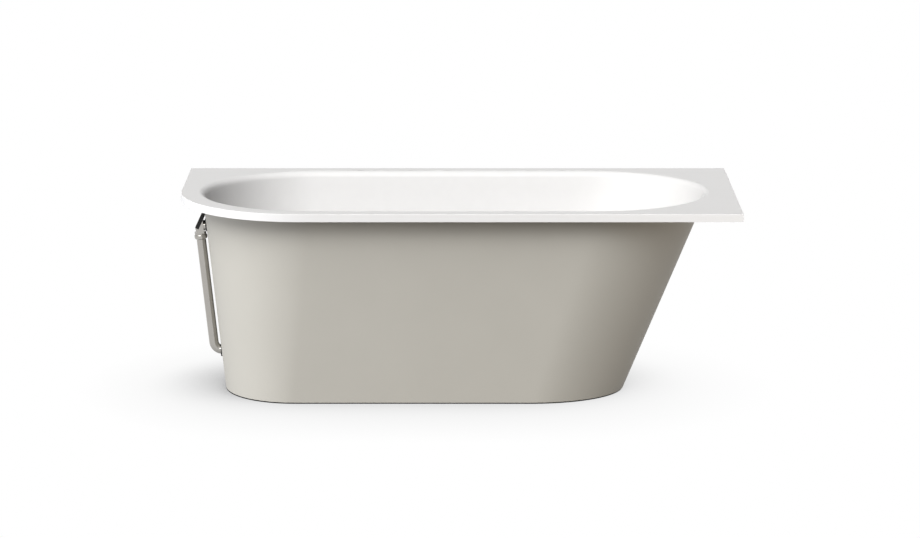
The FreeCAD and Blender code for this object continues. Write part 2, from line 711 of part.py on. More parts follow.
def nut_profile(seat, end):
    """Half section of a union nut, as distance along the pipe and radius."""
    way = 1 if end > seat else -1
    ring = end + way * SEAL_RING
    lip = ring + way * NUT_LIP
    bore = SOCKET_RADIUS + RUN_CLEAR
    pipe_bore = PIPE_RADIUS + RUN_CLEAR
    return [(seat, NUT_RADIUS), (seat, bore), (ring, bore), (ring, pipe_bore), (lip, pipe_bore),
            (lip, NUT_RADIUS)]


COLLAR_TOP = SOCKET_END + COLLAR_HEIGHT - NUT_LIP - SEAL_RING


def make_collar_nut():
    points = [V(PIPE_STAND + r, 0, w) for w, r in nut_profile(COLLAR_TOP, SOCKET_END)]
    nut = turned(points, V(PIPE_STAND, 0, 0), Z_AXIS)
    rims = [e for e in nut.Edges
            if e.BoundBox.XLength > 2 * NUT_RADIUS - PAST and e.BoundBox.ZLength < TOUCH]
    return at_overflow(nut.makeFillet(COLLAR_ROUND, rims))


def make_collar_seal():
    top = V(PIPE_STAND, 0, SOCKET_END)
    return at_overflow(tube(SOCKET_RADIUS, PIPE_RADIUS + RUN_CLEAR, top, top - V(0, 0, SEAL_RING)))


def make_pipe_grommet(skin):
    """Rubber ring gripped by the skin's pipe hole, with a lip on both sides of it."""
    pipe = swept_round(PIPE_RADIUS + RUN_CLEAR, PIPE_TOP, PIPE_END_X)
    return rod(GROMMET_RADIUS, *grommet_ends()).cut(pipe).cut(skin)


INLET_BRIDGE_X = PIPE_END_X


def make_control_cable():
    """Sheathed wire with a ferrule on each bridge and bare ends at the drum and the lever."""
    hood_seat = HOOD_WALL - HOOD_BOTTOM
    sheath = swept_round(CABLE_RADIUS, hood_seat, INLET_BRIDGE_X + BRIDGE_DEPTH)
    top = OVERFLOW_PLACE.multVec(V(PIPE_STAND, 0, hood_seat))
    up = OVERFLOW_PLACE.Rotation.multVec(Z_AXIS)
    wire_top = OVERFLOW_PLACE.multVec(V(PIPE_STAND, 0, -DRUM_RADIUS - SEAT_GAP))
    seat = V(INLET_BRIDGE_X + BRIDGE_DEPTH, 0, PIPE_Z)
    wire_end = V(PIVOT.x - LEVER_PULL_GAP - LEVER_TIP_RADIUS, 0, PIPE_Z)
    ferrules = [rod(FERRULE_RADIUS, top, top + up * FERRULE_LENGTH),
                rod(FERRULE_RADIUS, seat, seat + X_AXIS * FERRULE_LENGTH)]
    ends = [rod(WIRE_RADIUS, top, wire_top), rod(WIRE_RADIUS, seat, wire_end)]
    return joined(sheath, *ferrules, *ends)


# Waste outlet

DRAIN = V(DRAIN_X, 0, 0)
FLANGE_SEAT = FLOOR_Z + TOP_SEAL
FLANGE_TOP = FLANGE_SEAT + FLANGE_THICKNESS
SLEEVE_BOTTOM = FLOOR_Z - SHEET - WASTE_SLEEVE_LENGTH
SEAL_BORE = WASTE_SLEEVE_RADIUS + RUN_CLEAR
BODY_TOP = FLOOR_Z - SHEET - BOTTOM_SEAL
BODY_BORE = BODY_RADIUS - BODY_WALL
LEVER_TILT = math.degrees(math.asin(PLUG_LIFT / 2 / LEVER_ARM))
LEVER_REACH = LEVER_ARM * cosine(LEVER_TILT)
LEVER_TIP = V(DRAIN_X, 0, BODY_BOTTOM_Z + BODY_FLOOR + LEVER_FLOOR_GAP + LEVER_TIP_RADIUS)
PIVOT = LEVER_TIP + V(-LEVER_REACH, 0, PLUG_LIFT / 2)


def drain_ring(outer, inner, bottom, top):
    return tube(outer, inner, DRAIN + V(0, 0, bottom), DRAIN + V(0, 0, top))


def drain_bar(radius, bottom, top):
    return rod(radius, DRAIN + V(0, 0, bottom), DRAIN + V(0, 0, top))


def make_waste_flange():
    """Bright flange in the basin floor with a sleeve and a cross that guides the lift pin."""
    bore = WASTE_SLEEVE_RADIUS - WASTE_SLEEVE_WALL
    reach = bore + PAST
    hub_top = SLEEVE_BOTTOM + WASTE_HUB_HEIGHT
    disc = drain_bar(FLANGE_RADIUS, FLANGE_SEAT, FLANGE_TOP)
    disc = disc.makeFillet(FLANGE_ROUND, edges_at(disc, FLANGE_TOP))
    flange = joined(disc, drain_bar(WASTE_SLEEVE_RADIUS, SLEEVE_BOTTOM, FLANGE_SEAT))
    flange = flange.cut(drain_bar(bore, SLEEVE_BOTTOM - PAST, FLANGE_TOP + PAST))
    hub = drain_bar(WASTE_HUB_RADIUS, SLEEVE_BOTTOM, hub_top)
    bar_corner = DRAIN + V(-reach, -SPOKE_WIDTH / 2, SLEEVE_BOTTOM)
    bar = Part.makeBox(2 * reach, SPOKE_WIDTH, WASTE_HUB_HEIGHT, bar_corner)
    across = bar.copy()
    across.rotate(DRAIN, Z_AXIS, 90)
    flange = joined(flange, hub, bar, across)
    return flange.cut(drain_bar(LIFT_PIN_RADIUS + RUN_CLEAR, SLEEVE_BOTTOM - PAST, hub_top + PAST))


def make_waste_body():
    """Chamber under the floor, with the overflow's socket on its side and a spigot to the trap."""
    flange = drain_bar(FLANGE_RADIUS, BODY_TOP - BODY_FLANGE, BODY_TOP)
    chamber = drain_bar(BODY_RADIUS, BODY_BOTTOM_Z, BODY_TOP)
    spigot = drain_bar(SPIGOT_RADIUS, BODY_BOTTOM_Z - SPIGOT_LENGTH, BODY_BOTTOM_Z)
    inlet = rod(SOCKET_RADIUS, V(WASTE_INLET_X, 0, PIPE_Z), V(DRAIN_X, 0, PIPE_Z))
    body = joined(flange, chamber, spigot, inlet)
    body = body.cut(drain_bar(BODY_BORE, BODY_BOTTOM_Z + BODY_FLOOR, BODY_TOP + PAST))
    spigot_end = BODY_BOTTOM_Z - SPIGOT_LENGTH
    body = body.cut(drain_bar(SPIGOT_RADIUS - SPIGOT_WALL, spigot_end - PAST, BODY_TOP))
    mouth = V(WASTE_INLET_X, 0, PIPE_Z)
    pipe_end = V(PIPE_END_X, 0, PIPE_Z)
    middle = V(DRAIN_X, 0, PIPE_Z)
    body = body.cut(rod(PIPE_RADIUS + RUN_CLEAR, mouth - X_AXIS * PAST, pipe_end))
    bridge_corner = V(INLET_BRIDGE_X, -PIPE_RADIUS, PIPE_Z - FERRULE_RADIUS)
    bridge = Part.makeBox(BRIDGE_DEPTH, 2 * PIPE_RADIUS, 2 * FERRULE_RADIUS, bridge_corner)
    body = body.cut(rod(PIPE_RADIUS - PIPE_WALL, pipe_end, middle).cut(bridge))
    body = body.cut(rod(CABLE_RADIUS + RUN_CLEAR, mouth, middle))
    reach = Y_AXIS * BODY_RADIUS
    return body.cut(rod(LEVER_PIN_RADIUS + RUN_CLEAR, PIVOT - reach, PIVOT + reach))


def make_waste_plug():
    """Domed plug with a boss that takes the lift pin."""
    seat = FLANGE_TOP + PLUG_SEAL
    bore = LIFT_PIN_RADIUS + RUN_CLEAR
    foot = seat - PLUG_BOSS
    edge = seat + PLUG_EDGE
    profile = [(0, seat), (bore, seat), (bore, foot), (PLUG_BOSS_RADIUS, foot),
               (PLUG_BOSS_RADIUS, seat), (PLUG_RADIUS, seat), (PLUG_RADIUS, edge),
               (PLUG_SHOULDER_RADIUS, edge + PLUG_SHOULDER), (0, edge + PLUG_DOME)]
    return turned([DRAIN + V(r, 0, z) for r, z in profile], DRAIN, Z_AXIS)


def make_lift_pin():
    """Round pin with a tapered foot that stands on the lever's tip."""
    foot = LEVER_TIP.z + LEVER_TIP_RADIUS + SEAT_GAP
    shank = drain_bar(LIFT_PIN_RADIUS, foot + LIFT_FOOT_HEIGHT, FLANGE_TOP + PLUG_SEAL)
    taper = Part.makeCone(LIFT_FOOT_RADIUS, LIFT_PIN_RADIUS, LIFT_FOOT_HEIGHT, DRAIN + V(0, 0, foot))
    return joined(shank, taper)


def lever_plate(start, end):
    """Flat bar of the lever between two points, in the lever's own plane."""
    run = end - start
    side = V(-run.z, 0, run.x).normalize() * LEVER_ARM_HALF
    outline = (start + side, end + side, end - side, start - side)
    corners = [p - Y_AXIS * LEVER_WIDTH / 2 for p in outline]
    return Part.Face(Part.makePolygon(corners + corners[:1])).extrude(Y_AXIS * LEVER_WIDTH)


def make_lift_lever():
    """Bell crank: the cable pulls its upright arm and its level arm raises the lift pin."""
    half = Y_AXIS * LEVER_WIDTH / 2
    pull = V(PIVOT.x, 0, PIPE_Z)
    hub = rod(LEVER_HUB_RADIUS, PIVOT - half, PIVOT + half)
    tip = rod(LEVER_TIP_RADIUS, LEVER_TIP - half, LEVER_TIP + half)
    eye = rod(LEVER_TIP_RADIUS, pull - half, pull + half)
    arms = [lever_plate(PIVOT, LEVER_TIP), lever_plate(PIVOT, pull)]
    lever = joined(hub, tip, eye, *arms)
    return lever.cut(rod(LEVER_PIN_RADIUS + RUN_CLEAR, PIVOT - half * 2, PIVOT + half * 2))


def make_lever_pin():
    reach = math.sqrt(BODY_RADIUS ** 2 - LEVER_REACH ** 2) - LEVER_PIN_INSET
    return rod(LEVER_PIN_RADIUS, PIVOT - Y_AXIS * reach, PIVOT + Y_AXIS * reach)


def make_inlet_nut():
    seat = WASTE_INLET_X + COLLAR_HEIGHT - NUT_LIP - SEAL_RING
    points = [V(x, 0, PIPE_Z + r) for x, r in nut_profile(seat, WASTE_INLET_X)]
    return turned(points, V(0, 0, PIPE_Z), X_AXIS)


def make_inlet_seal():
    start = V(WASTE_INLET_X, 0, PIPE_Z)
    return tube(SOCKET_RADIUS, PIPE_RADIUS + RUN_CLEAR, start, start - X_AXIS * SEAL_RING)


# Trap and outlet

TRAP_SOCKET_TOP = BODY_BOTTOM_Z - SEAT_GAP
TRAP_SOCKET_RADIUS = SPIGOT_RADIUS + SOCKET_WALL
OUTLET_SOCKET_RADIUS = SPIGOT_RADIUS + SOCKET_WALL


def outlet_bar(radius, start, end):
    return rod(radius, V(DRAIN_X, start, OUTLET_Z), V(DRAIN_X, end, OUTLET_Z))


def make_trap_head():
    """Trap with a socket on the waste spigot, a dip tube and the outlet's socket on its side."""
    dip = SPIGOT_RADIUS - SPIGOT_WALL
    head = drain_bar(TRAP_RADIUS, TRAP_RIM_Z, TRAP_TOP_Z)
    head = head.cut(drain_bar(TRAP_RADIUS - TRAP_WALL, TRAP_RIM_Z - PAST, TRAP_TOP_Z - TRAP_WALL))
    socket = drain_bar(TRAP_SOCKET_RADIUS, TRAP_TOP_Z - TRAP_WALL, TRAP_SOCKET_TOP)
    inside = TRAP_RADIUS - 2 * TRAP_WALL
    side = outlet_bar(OUTLET_SOCKET_RADIUS, inside, OUTLET_SOCKET_END)
    side = side.cut(drain_bar(TRAP_RADIUS - TRAP_WALL, TRAP_RIM_Z, TRAP_TOP_Z))
    head = joined(head, socket, side, drain_bar(SPIGOT_RADIUS, DIP_BOTTOM_Z, TRAP_TOP_Z))
    head = head.cut(drain_bar(dip, DIP_BOTTOM_Z - PAST, TRAP_SOCKET_TOP + PAST))
    spigot_end = BODY_BOTTOM_Z - SPIGOT_LENGTH - SEAT_GAP
    head = head.cut(drain_bar(SPIGOT_RADIUS + RUN_CLEAR, spigot_end, TRAP_SOCKET_TOP + PAST))
    mouth = OUTLET_SOCKET_END + PAST
    head = head.cut(outlet_bar(SPIGOT_RADIUS - SPIGOT_WALL, inside, mouth))
    return head.cut(outlet_bar(OUTLET_INSERT_RADIUS + RUN_CLEAR, OUTLET_PIPE_START, mouth))


def make_trap_nut():
    """Ring that clamps the trap's socket on the waste spigot."""
    outer = TRAP_SOCKET_RADIUS + NUT_WALL
    return drain_ring(outer, TRAP_SOCKET_RADIUS + RUN_CLEAR, TRAP_TOP_Z, TRAP_SOCKET_TOP)


def make_trap_cup():
    """Screw-on cup under the trap, with finger ribs round it."""
    outer = TRAP_RADIUS + CUP_WALL
    cup = drain_bar(outer, CUP_BOTTOM_Z, CUP_RIM_Z)
    for i in range(CUP_RIB_COUNT):
        angle = 360 * i / CUP_RIB_COUNT
        foot = DRAIN + V(outer * cosine(angle), outer * sine(angle), CUP_BOTTOM_Z)
        cup = cup.fuse(rod(CUP_RIB_RADIUS, foot, foot + V(0, 0, CUP_RIM_Z - CUP_BOTTOM_Z)))
    cup = cup.removeSplitter()
    cup = cup.cut(drain_bar(TRAP_RADIUS + RUN_CLEAR, TRAP_RIM_Z - SEAL_RING, CUP_RIM_Z + PAST))
    return cup.cut(drain_bar(TRAP_RADIUS - TRAP_WALL, CUP_BOTTOM_Z + CUP_WALL, CUP_RIM_Z))


def make_outlet_pipe():
    """Drain pipe with a turned-down end that the socket takes, up to the union nut."""
    shoulder = OUTLET_SOCKET_END + SEAL_RING + NUT_LIP + SEAT_GAP
    insert = outlet_bar(OUTLET_INSERT_RADIUS, OUTLET_PIPE_START, shoulder)
    pipe = joined(insert, outlet_bar(SPIGOT_RADIUS, shoulder, OUTLET_PIPE_END))
    bore = SPIGOT_RADIUS - SPIGOT_WALL
    return pipe.cut(outlet_bar(bore, OUTLET_PIPE_START - PAST, OUTLET_PIPE_END + PAST))


def make_outlet_nut():
    """Union nut that clamps the outlet pipe in its socket."""
    start = OUTLET_SOCKET_END - COLLAR_HEIGHT + NUT_LIP
    ring = OUTLET_SOCKET_END + SEAL_RING
    lip = ring + NUT_LIP
    bore = OUTLET_SOCKET_RADIUS + RUN_CLEAR
    outer = OUTLET_SOCKET_RADIUS + NUT_WALL
    pipe_bore = OUTLET_INSERT_RADIUS + RUN_CLEAR
    profile = [(start, outer), (start, bore), (ring, bore), (ring, pipe_bore), (lip, pipe_bore),
               (lip, outer)]
    points = [V(DRAIN_X + r, y, OUTLET_Z) for y, r in profile]
    return turned(points, V(DRAIN_X, 0, OUTLET_Z), Y_AXIS)


def make_outlet_seal():
    start = V(DRAIN_X, OUTLET_SOCKET_END, OUTLET_Z)
    end = start + Y_AXIS * SEAL_RING
    return tube(OUTLET_SOCKET_RADIUS, OUTLET_INSERT_RADIUS + RUN_CLEAR, start, end)


tub_shell = make_tub_shell()
outer_skin = make_outer_skin()
NODES = {
    "tub_shell": tub_shell,
    "rim_core": make_rim_core(),
    "outer_skin": outer_skin,
    "skin_screws": make_skin_screws(),
    "base_board": make_base_board(),
    "foot_rail_left": make_rail(RAIL_LEFT_X),
    "foot_rail_right": make_rail(RAIL_RIGHT_X),
    "rail_screws": make_rail_screws(),
    "foot_nuts": make_foot_nuts(),
    "overflow_outer_seal": make_overflow_seal(
        outer_skin, OUTER_SEAL_RADIUS, OUTER_SEAL, -SKIN / 2),
    "overflow_inner_seal": make_overflow_seal(
        tub_shell, INNER_SEAL_RADIUS, SLEEVE_SEAT, INNER_FACE + SHEET / 2),
    "overflow_sleeve": make_overflow_sleeve(),
    "overflow_knob": make_overflow_knob(),
    "knob_spindle": make_knob_spindle(),
    "cable_drum": make_cable_drum(),
    "overflow_hood": make_overflow_hood(),
    "overflow_cap": make_overflow_cap(),
    "overflow_pipe": make_overflow_pipe(),
    "collar_nut": make_collar_nut(),
    "collar_seal": make_collar_seal(),
    "pipe_grommet": make_pipe_grommet(outer_skin),
    "control_cable": make_control_cable(),
    "waste_flange": make_waste_flange(),
    "waste_top_seal": drain_ring(TOP_SEAL_RADIUS, SEAL_BORE, FLOOR_Z, FLANGE_SEAT),
    "waste_bottom_seal": drain_ring(FLANGE_RADIUS, SEAL_BORE, BODY_TOP, FLOOR_Z - SHEET),
    "waste_body": make_waste_body(),
    "waste_plug": make_waste_plug(),
    "plug_seal": drain_ring(PLUG_SEAL_RADIUS, PLUG_SEAL_BORE, FLANGE_TOP, FLANGE_TOP + PLUG_SEAL),
    "lift_pin": make_lift_pin(),
    "lift_lever": make_lift_lever(),
    "lever_pin": make_lever_pin(),
    "inlet_nut": make_inlet_nut(),
    "inlet_seal": make_inlet_seal(),
    "trap_head": make_trap_head(),
    "trap_cup": make_trap_cup(),
    "trap_nut": make_trap_nut(),
    "cup_seal": drain_ring(TRAP_RADIUS, TRAP_RADIUS - TRAP_WALL, TRAP_RIM_Z - SEAL_RING, TRAP_RIM_Z),
    "outlet_pipe": make_outlet_pipe(),
    "outlet_nut": make_outlet_nut(),
    "outlet_seal": make_outlet_seal(),
}
for number, place in enumerate(FOOT_PLACES, 1):
    NODES[f"foot_spindle_{number}"] = make_foot_spindle(place)
    NODES[f"foot_pad_{number}"] = make_foot_pad(place)

os.makedirs("parts", exist_ok=True)
for node, shape in NODES.items():
    print(node, shape.isValid(), len(shape.Solids), round(shape.Volume / 1000, 2))
    shape.exportStep(f"parts/{node}.step")
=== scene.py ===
import math

import bmesh
import bpy
import numpy as np
from mathutils import Matrix, Vector


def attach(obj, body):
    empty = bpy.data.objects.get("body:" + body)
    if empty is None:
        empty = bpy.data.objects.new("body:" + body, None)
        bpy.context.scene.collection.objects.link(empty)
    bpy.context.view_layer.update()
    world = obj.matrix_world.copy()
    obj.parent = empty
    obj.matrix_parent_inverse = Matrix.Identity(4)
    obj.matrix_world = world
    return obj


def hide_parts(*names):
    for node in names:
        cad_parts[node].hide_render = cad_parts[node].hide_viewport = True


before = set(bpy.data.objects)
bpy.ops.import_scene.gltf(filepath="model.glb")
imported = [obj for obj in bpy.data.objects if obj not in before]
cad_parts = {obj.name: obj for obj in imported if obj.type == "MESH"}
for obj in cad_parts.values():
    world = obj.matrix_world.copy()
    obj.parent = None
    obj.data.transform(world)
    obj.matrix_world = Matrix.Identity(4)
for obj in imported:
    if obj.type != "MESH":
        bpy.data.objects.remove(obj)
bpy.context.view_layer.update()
bpy.context.scene.view_settings.view_transform = "Standard"


# Tub shell: one sheet of white sanitary acrylic, heated and drawn into a rim with a turned-down
# edge, a rounded lip and an oval basin. It is modelled as rings that follow the mould's plan,
# all seen from one middle axis, so that rim, lip, wall and floor run into each other.

# Sizes are in metres, in the frame of the CAD.
LENGTH = 1.700
WIDTH = 0.750
HEIGHT = 0.620
CORNER_RADIUS = 0.375
RIM_EDGE = 0.024
SHEET = 0.005
EDGE_ROUND = 0.002
EDGE_STEPS = 5
LIP_RADIUS = 0.022
FLOOR_Z = 0.175
FLOOR_RADIUS = 0.070

# The wall's oval: the rim's width beside it, which gives its ends and half width at the top, how far
# its walls lean, and how far its round ends reach at the top and at the ground.
RIM_AT_FOOT = 0.0735
RIM_AT_BACK = 0.0905
RIM_AT_SIDE = 0.062
FOOT_END = RIM_AT_FOOT - LENGTH / 2
BACK_END = LENGTH / 2 - RIM_AT_BACK
HALF_WIDTH = WIDTH / 2 - RIM_AT_SIDE
FOOT_LEAN = math.radians(5.93)
BACK_LEAN = math.radians(22.28)
SIDE_LEAN = math.radians(8.74)
FOOT_REACH_TOP = 0.341
FOOT_REACH_BASE = 0.214
BACK_REACH_TOP = 0.349
BACK_REACH_BASE = 0.282

DRAIN_X = -0.470
DRAIN_HOLE = 0.026
DRAIN_SIDES = 64
OVERFLOW_Z = 0.512
OVERFLOW_HOLE = 0.013
CUT_REACH = 0.020

# How the rings are laid: the level whose oval spreads the points, the points round an end and
# along a side, the rise that a slope is read over, and the ring that keeps a rounding's edge crisp.
PLAN_LEVEL = 0.4
END_POINTS = 65
SIDE_POINTS = 14
LEAST_TURN = math.radians(0.02)
SLOPE_RISE = 0.05
SUPPORT = 0.0015
TINY = 1e-9
SAME_POINT = 1e-6

ACRYLIC_WHITE = "#dad9d8"
ACRYLIC_PALE = "#dedddc"
DRAW_WAVE = 0.120
POLISH_HAZE = 0.035


def wall_plan(z, outward):
    """Ends, ellipse centres and half width of the wall's oval at a height, moved outward."""
    depth = HEIGHT - z
    fall = depth / HEIGHT
    left = FOOT_END + depth * math.tan(FOOT_LEAN) - outward / math.cos(FOOT_LEAN)
    right = BACK_END - depth * math.tan(BACK_LEAN) + outward / math.cos(BACK_LEAN)
    half = HALF_WIDTH - depth * math.tan(SIDE_LEAN) + outward / math.cos(SIDE_LEAN)
    foot = left + FOOT_REACH_TOP + (FOOT_REACH_BASE - FOOT_REACH_TOP) * fall + outward
    back = right - BACK_REACH_TOP - (BACK_REACH_BASE - BACK_REACH_TOP) * fall - outward
    return left, foot, back, right, half


def plan_bearings():
    """Bearings of the rings' points: close together round the ends, with the rim's corners."""
    left, foot, back, right, half = wall_plan(PLAN_LEVEL, 0)
    turns = np.radians(np.linspace(-90, 90, END_POINTS))
    x = [back + (right - back) * np.cos(turns), foot - (foot - left) * np.cos(turns)]
    y = [half * np.sin(turns), half * np.sin(turns)]
    run = np.linspace(foot, back, SIDE_POINTS)[1:-1]
    x += [run, run, np.array([LENGTH / 2, LENGTH / 2, -LENGTH / 2, CORNER_RADIUS - LENGTH / 2])]
    y += [run * 0 - half, run * 0 + half, np.array([-WIDTH / 2, WIDTH / 2, WIDTH / 2, -WIDTH / 2])]
    bearings = np.sort(np.arctan2(np.concatenate(y), np.concatenate(x)))
    return bearings[np.append(True, np.diff(bearings) > LEAST_TURN)]


BEARINGS = plan_bearings()
WAY = np.stack([np.cos(BEARINGS), np.sin(BEARINGS)], axis=1)


def wall_ring(z, outward):
    """Points of the wall at a height, one for each bearing. Each point may have its own height."""
    left, foot, back, right, half = wall_plan(z, outward)
    along, across = WAY[:, 0], WAY[:, 1]
    center = np.where(along > 0, back, foot)
    reach = np.where(along > 0, right - back, foot - left)
    a = along ** 2 / reach ** 2 + across ** 2 / half ** 2
    b = -2 * along * center / reach ** 2
    c = center ** 2 / reach ** 2 - 1
    far = (-b + np.sqrt(b * b - 4 * a * c)) / (2 * a)
    side = half / np.maximum(np.abs(across), TINY)
    straight = (side * along > foot) & (side * along < back)
    return WAY * np.where(straight, side, far)[:, None]


def outward_of(ring):
    """Unit vectors that point out of a ring, in plan."""
    run = np.roll(ring, -1, axis=0) - np.roll(ring, 1, axis=0)
    out = np.stack([run[:, 1], -run[:, 0]], axis=1)
    return out / np.linalg.norm(out, axis=1)[:, None]


def with_height(ring, z):
    """Points of a plan ring in space."""
    return np.column_stack([ring, np.broadcast_to(z, len(ring))])


def corner_of(level, rise, radius, outward):
    """Wall ring at a level, its outward vectors and slope, and a rounding's turn and reach there."""
    wall = wall_ring(level, outward)
    out = outward_of(wall)
    slope = ((wall_ring(level + rise, outward) - wall) * out).sum(axis=1) / rise
    turn = math.pi / 2 - np.arctan(slope)
    return wall, out, slope, turn, radius * np.tan(turn / 2)


def rounded_top(level, radius, outward, rows):
    """Rings of the rounding between a level face and the wall under it, from the face downward."""
    wall, out, slope, turn, reach = corner_of(level, -SLOPE_RISE, radius, outward)
    rings = [with_height(wall + out * (reach + SUPPORT)[:, None], level)]
    for share in np.linspace(0, 1, rows):
        depth = radius * (1 - np.cos(turn * share))
        stand = reach - radius * np.sin(turn * share) + depth * slope
        ring = wall_ring(level - depth, outward) + out * stand[:, None]
        rings.append(with_height(ring, level - depth))
    return rings


def rounded_foot(level, radius, outward, rows):
    """Rings of the rounding between the wall and a level floor, from the wall inward."""
    wall, out, slope, turn, reach = corner_of(level, SLOPE_RISE, radius, outward)
    rings = []
    for share in np.linspace(1, 0, rows):
        rise = radius * (1 - np.cos(turn * share))
        stand = rise * slope + reach - radius * np.sin(turn * share)
        ring = wall_ring(level + rise, outward) - out * stand[:, None]
        rings.append(with_height(ring, level + rise))
    rings.append(with_height(wall - out * (reach + SUPPORT)[:, None], level))
    return rings


def wall_between(upper, lower, outward, rows):
    """Rings of the plain wall between two rings, both left out."""
    shares = np.linspace(0, 1, rows + 2)[1:-1]
    heights = [upper[:, 2] + (lower[:, 2] - upper[:, 2]) * share for share in shares]
    return [with_height(wall_ring(z, outward), z) for z in heights]


def rim_ring(inset, z):
    """Rim rectangle with its one big round corner, moved inward."""
    x, y = LENGTH / 2, WIDTH / 2
    flat = np.minimum(x / np.maximum(np.abs(WAY[:, 0]), TINY), y / np.maximum(np.abs(WAY[:, 1]), TINY))
    ring = WAY * flat[:, None]
    center = np.array([CORNER_RADIUS - x, CORNER_RADIUS - y])
    inward = np.where(np.abs(np.abs(ring) - [x, y]) < SAME_POINT, -np.sign(ring), 0)
    toward = WAY @ center
    far = toward + np.sqrt(np.maximum(toward ** 2 - center @ center + CORNER_RADIUS ** 2, 0))
    round_part = (ring[:, 0] < center[0] - TINY) & (ring[:, 1] < center[1] - TINY)
    arc = WAY * far[:, None]
    ring = np.where(round_part[:, None], arc, ring)
    inward = np.where(round_part[:, None], (center - arc) / CORNER_RADIUS, inward)
    return with_height(ring + inward * inset, z)


def lay_rings(shape, rings):
    """Adds rings of points to a mesh and joins each to the next with four-sided faces."""
    rows = [[shape.verts.new(point) for point in ring] for ring in rings]
    for upper, lower in zip(rows, rows[1:]):
        join_rows(shape, upper, lower)
    return rows


def join_rows(shape, upper, lower):
    """Four-sided faces between two closed rows of points."""
    for i in range(len(upper)):
        shape.faces.new([upper[i - 1], lower[i - 1], lower[i], upper[i]])


def circle(x, y, z, radius, count):
    """Points of a level circle."""
    turns = np.linspace(0, 2 * math.pi, count, endpoint=False)
    ring = np.column_stack([x + radius * np.cos(turns), y + radius * np.sin(turns)])
    return with_height(ring, z)


def fill_between(shape, *loops):
    """Flat faces between closed rows of points in one level."""
    edges = [shape.edges.get((row[i - 1], row[i])) or shape.edges.new((row[i - 1], row[i]))
             for row in loops for i in range(len(row))]
    bmesh.ops.triangle_fill(shape, use_beauty=True, edges=edges)


def piece_with(mesh, name, sharp_degrees):
    """Object with a mesh that is smooth but for edges over an angle."""
    mesh.name = name
    mesh.shade_smooth()
    mesh.set_sharp_from_angle(angle=math.radians(sharp_degrees))
    piece = bpy.data.objects.new(name, mesh)
    bpy.context.scene.collection.objects.link(piece)
    return piece


def piece_from(shape, name, sharp_degrees):
    """Object with a finished shape, its faces turned outward."""
    bmesh.ops.recalc_face_normals(shape, faces=shape.faces)
    mesh = bpy.data.meshes.new(name)
    shape.to_mesh(mesh)
    shape.free()
    return piece_with(mesh, name, sharp_degrees)


def cut_from(piece, cutter, sharp_degrees):
    """Takes the cutter's volume out of a piece, with sharp edges round the cut, and drops the cutter."""
    cut = piece.modifiers.new("cut", "BOOLEAN")
    cut.object = cutter
    cut.solver = "EXACT"
    graph = bpy.context.evaluated_depsgraph_get()
    mesh = bpy.data.meshes.new_from_object(piece.evaluated_get(graph))
    piece.modifiers.remove(cut)
    mesh.name = piece.data.name
    mesh.set_sharp_from_angle(angle=math.radians(sharp_degrees))
    piece.data = mesh
    bpy.data.objects.remove(cutter)


def overflow_place(outward):
    """Frame on the foot end's wall: X out of the wall, Z up along it."""
    sine, cosine = math.sin(FOOT_LEAN), math.cos(FOOT_LEAN)
    left = wall_plan(OVERFLOW_Z, outward)[0]
    return Matrix(((-cosine, 0, -sine, left),
                   (0, -1, 0, 0),
                   (-sine, 0, cosine, OVERFLOW_Z),
                   (0, 0, 0, 1)))


def add_bar(shape, radius, start, end, count=48):
    """Adds a closed round bar between two points."""
    start, end = Vector(start), Vector(end)
    turn = (end - start).to_track_quat("Z", "Y").to_matrix().to_4x4()
    place = Matrix.Translation((start + end) / 2) @ turn
    bmesh.ops.create_cone(shape, cap_ends=True, segments=count, radius1=radius, radius2=radius,
                          depth=(end - start).length, matrix=place)


def add_overflow_hole(shape, outward):
    """Adds the bar that bores the overflow's hole through a wall."""
    place = overflow_place(outward)
    add_bar(shape, OVERFLOW_HOLE, place @ Vector((-CUT_REACH, 0, 0)), place @ Vector((CUT_REACH, 0, 0)))


def linear(hex_code):
    """Linear colour from an sRGB hex value."""
    parts = [int(hex_code[i:i + 2], 16) / 255 for i in (1, 3, 5)]
    return [c / 12.92 if c <= 0.04045 else ((c + 0.055) / 1.055) ** 2.4 for c in parts] + [1.0]


def add_node(tree, kind, inputs=None, **settings):
    """Adds a node with its settings. An input is a value, a socket, or a node for its first output."""
    node = tree.nodes.new(kind)
    for name, value in settings.items():
        setattr(node, name, value)
    for name, value in (inputs or {}).items():
        source = value.outputs[0] if isinstance(value, bpy.types.Node) else value
        if isinstance(source, bpy.types.NodeSocket):
            tree.links.new(source, node.inputs[name])
        else:
            node.inputs[name].default_value = source
    return node


def new_material(name):
    """Empty material, its node tree and the place on the piece that its patterns follow."""
    material = bpy.data.materials.new(name)
    material.use_nodes = True
    tree = material.node_tree
    tree.nodes.clear()
    place = add_node(tree, "ShaderNodeTexCoord").outputs["Object"]
    return material, tree, place


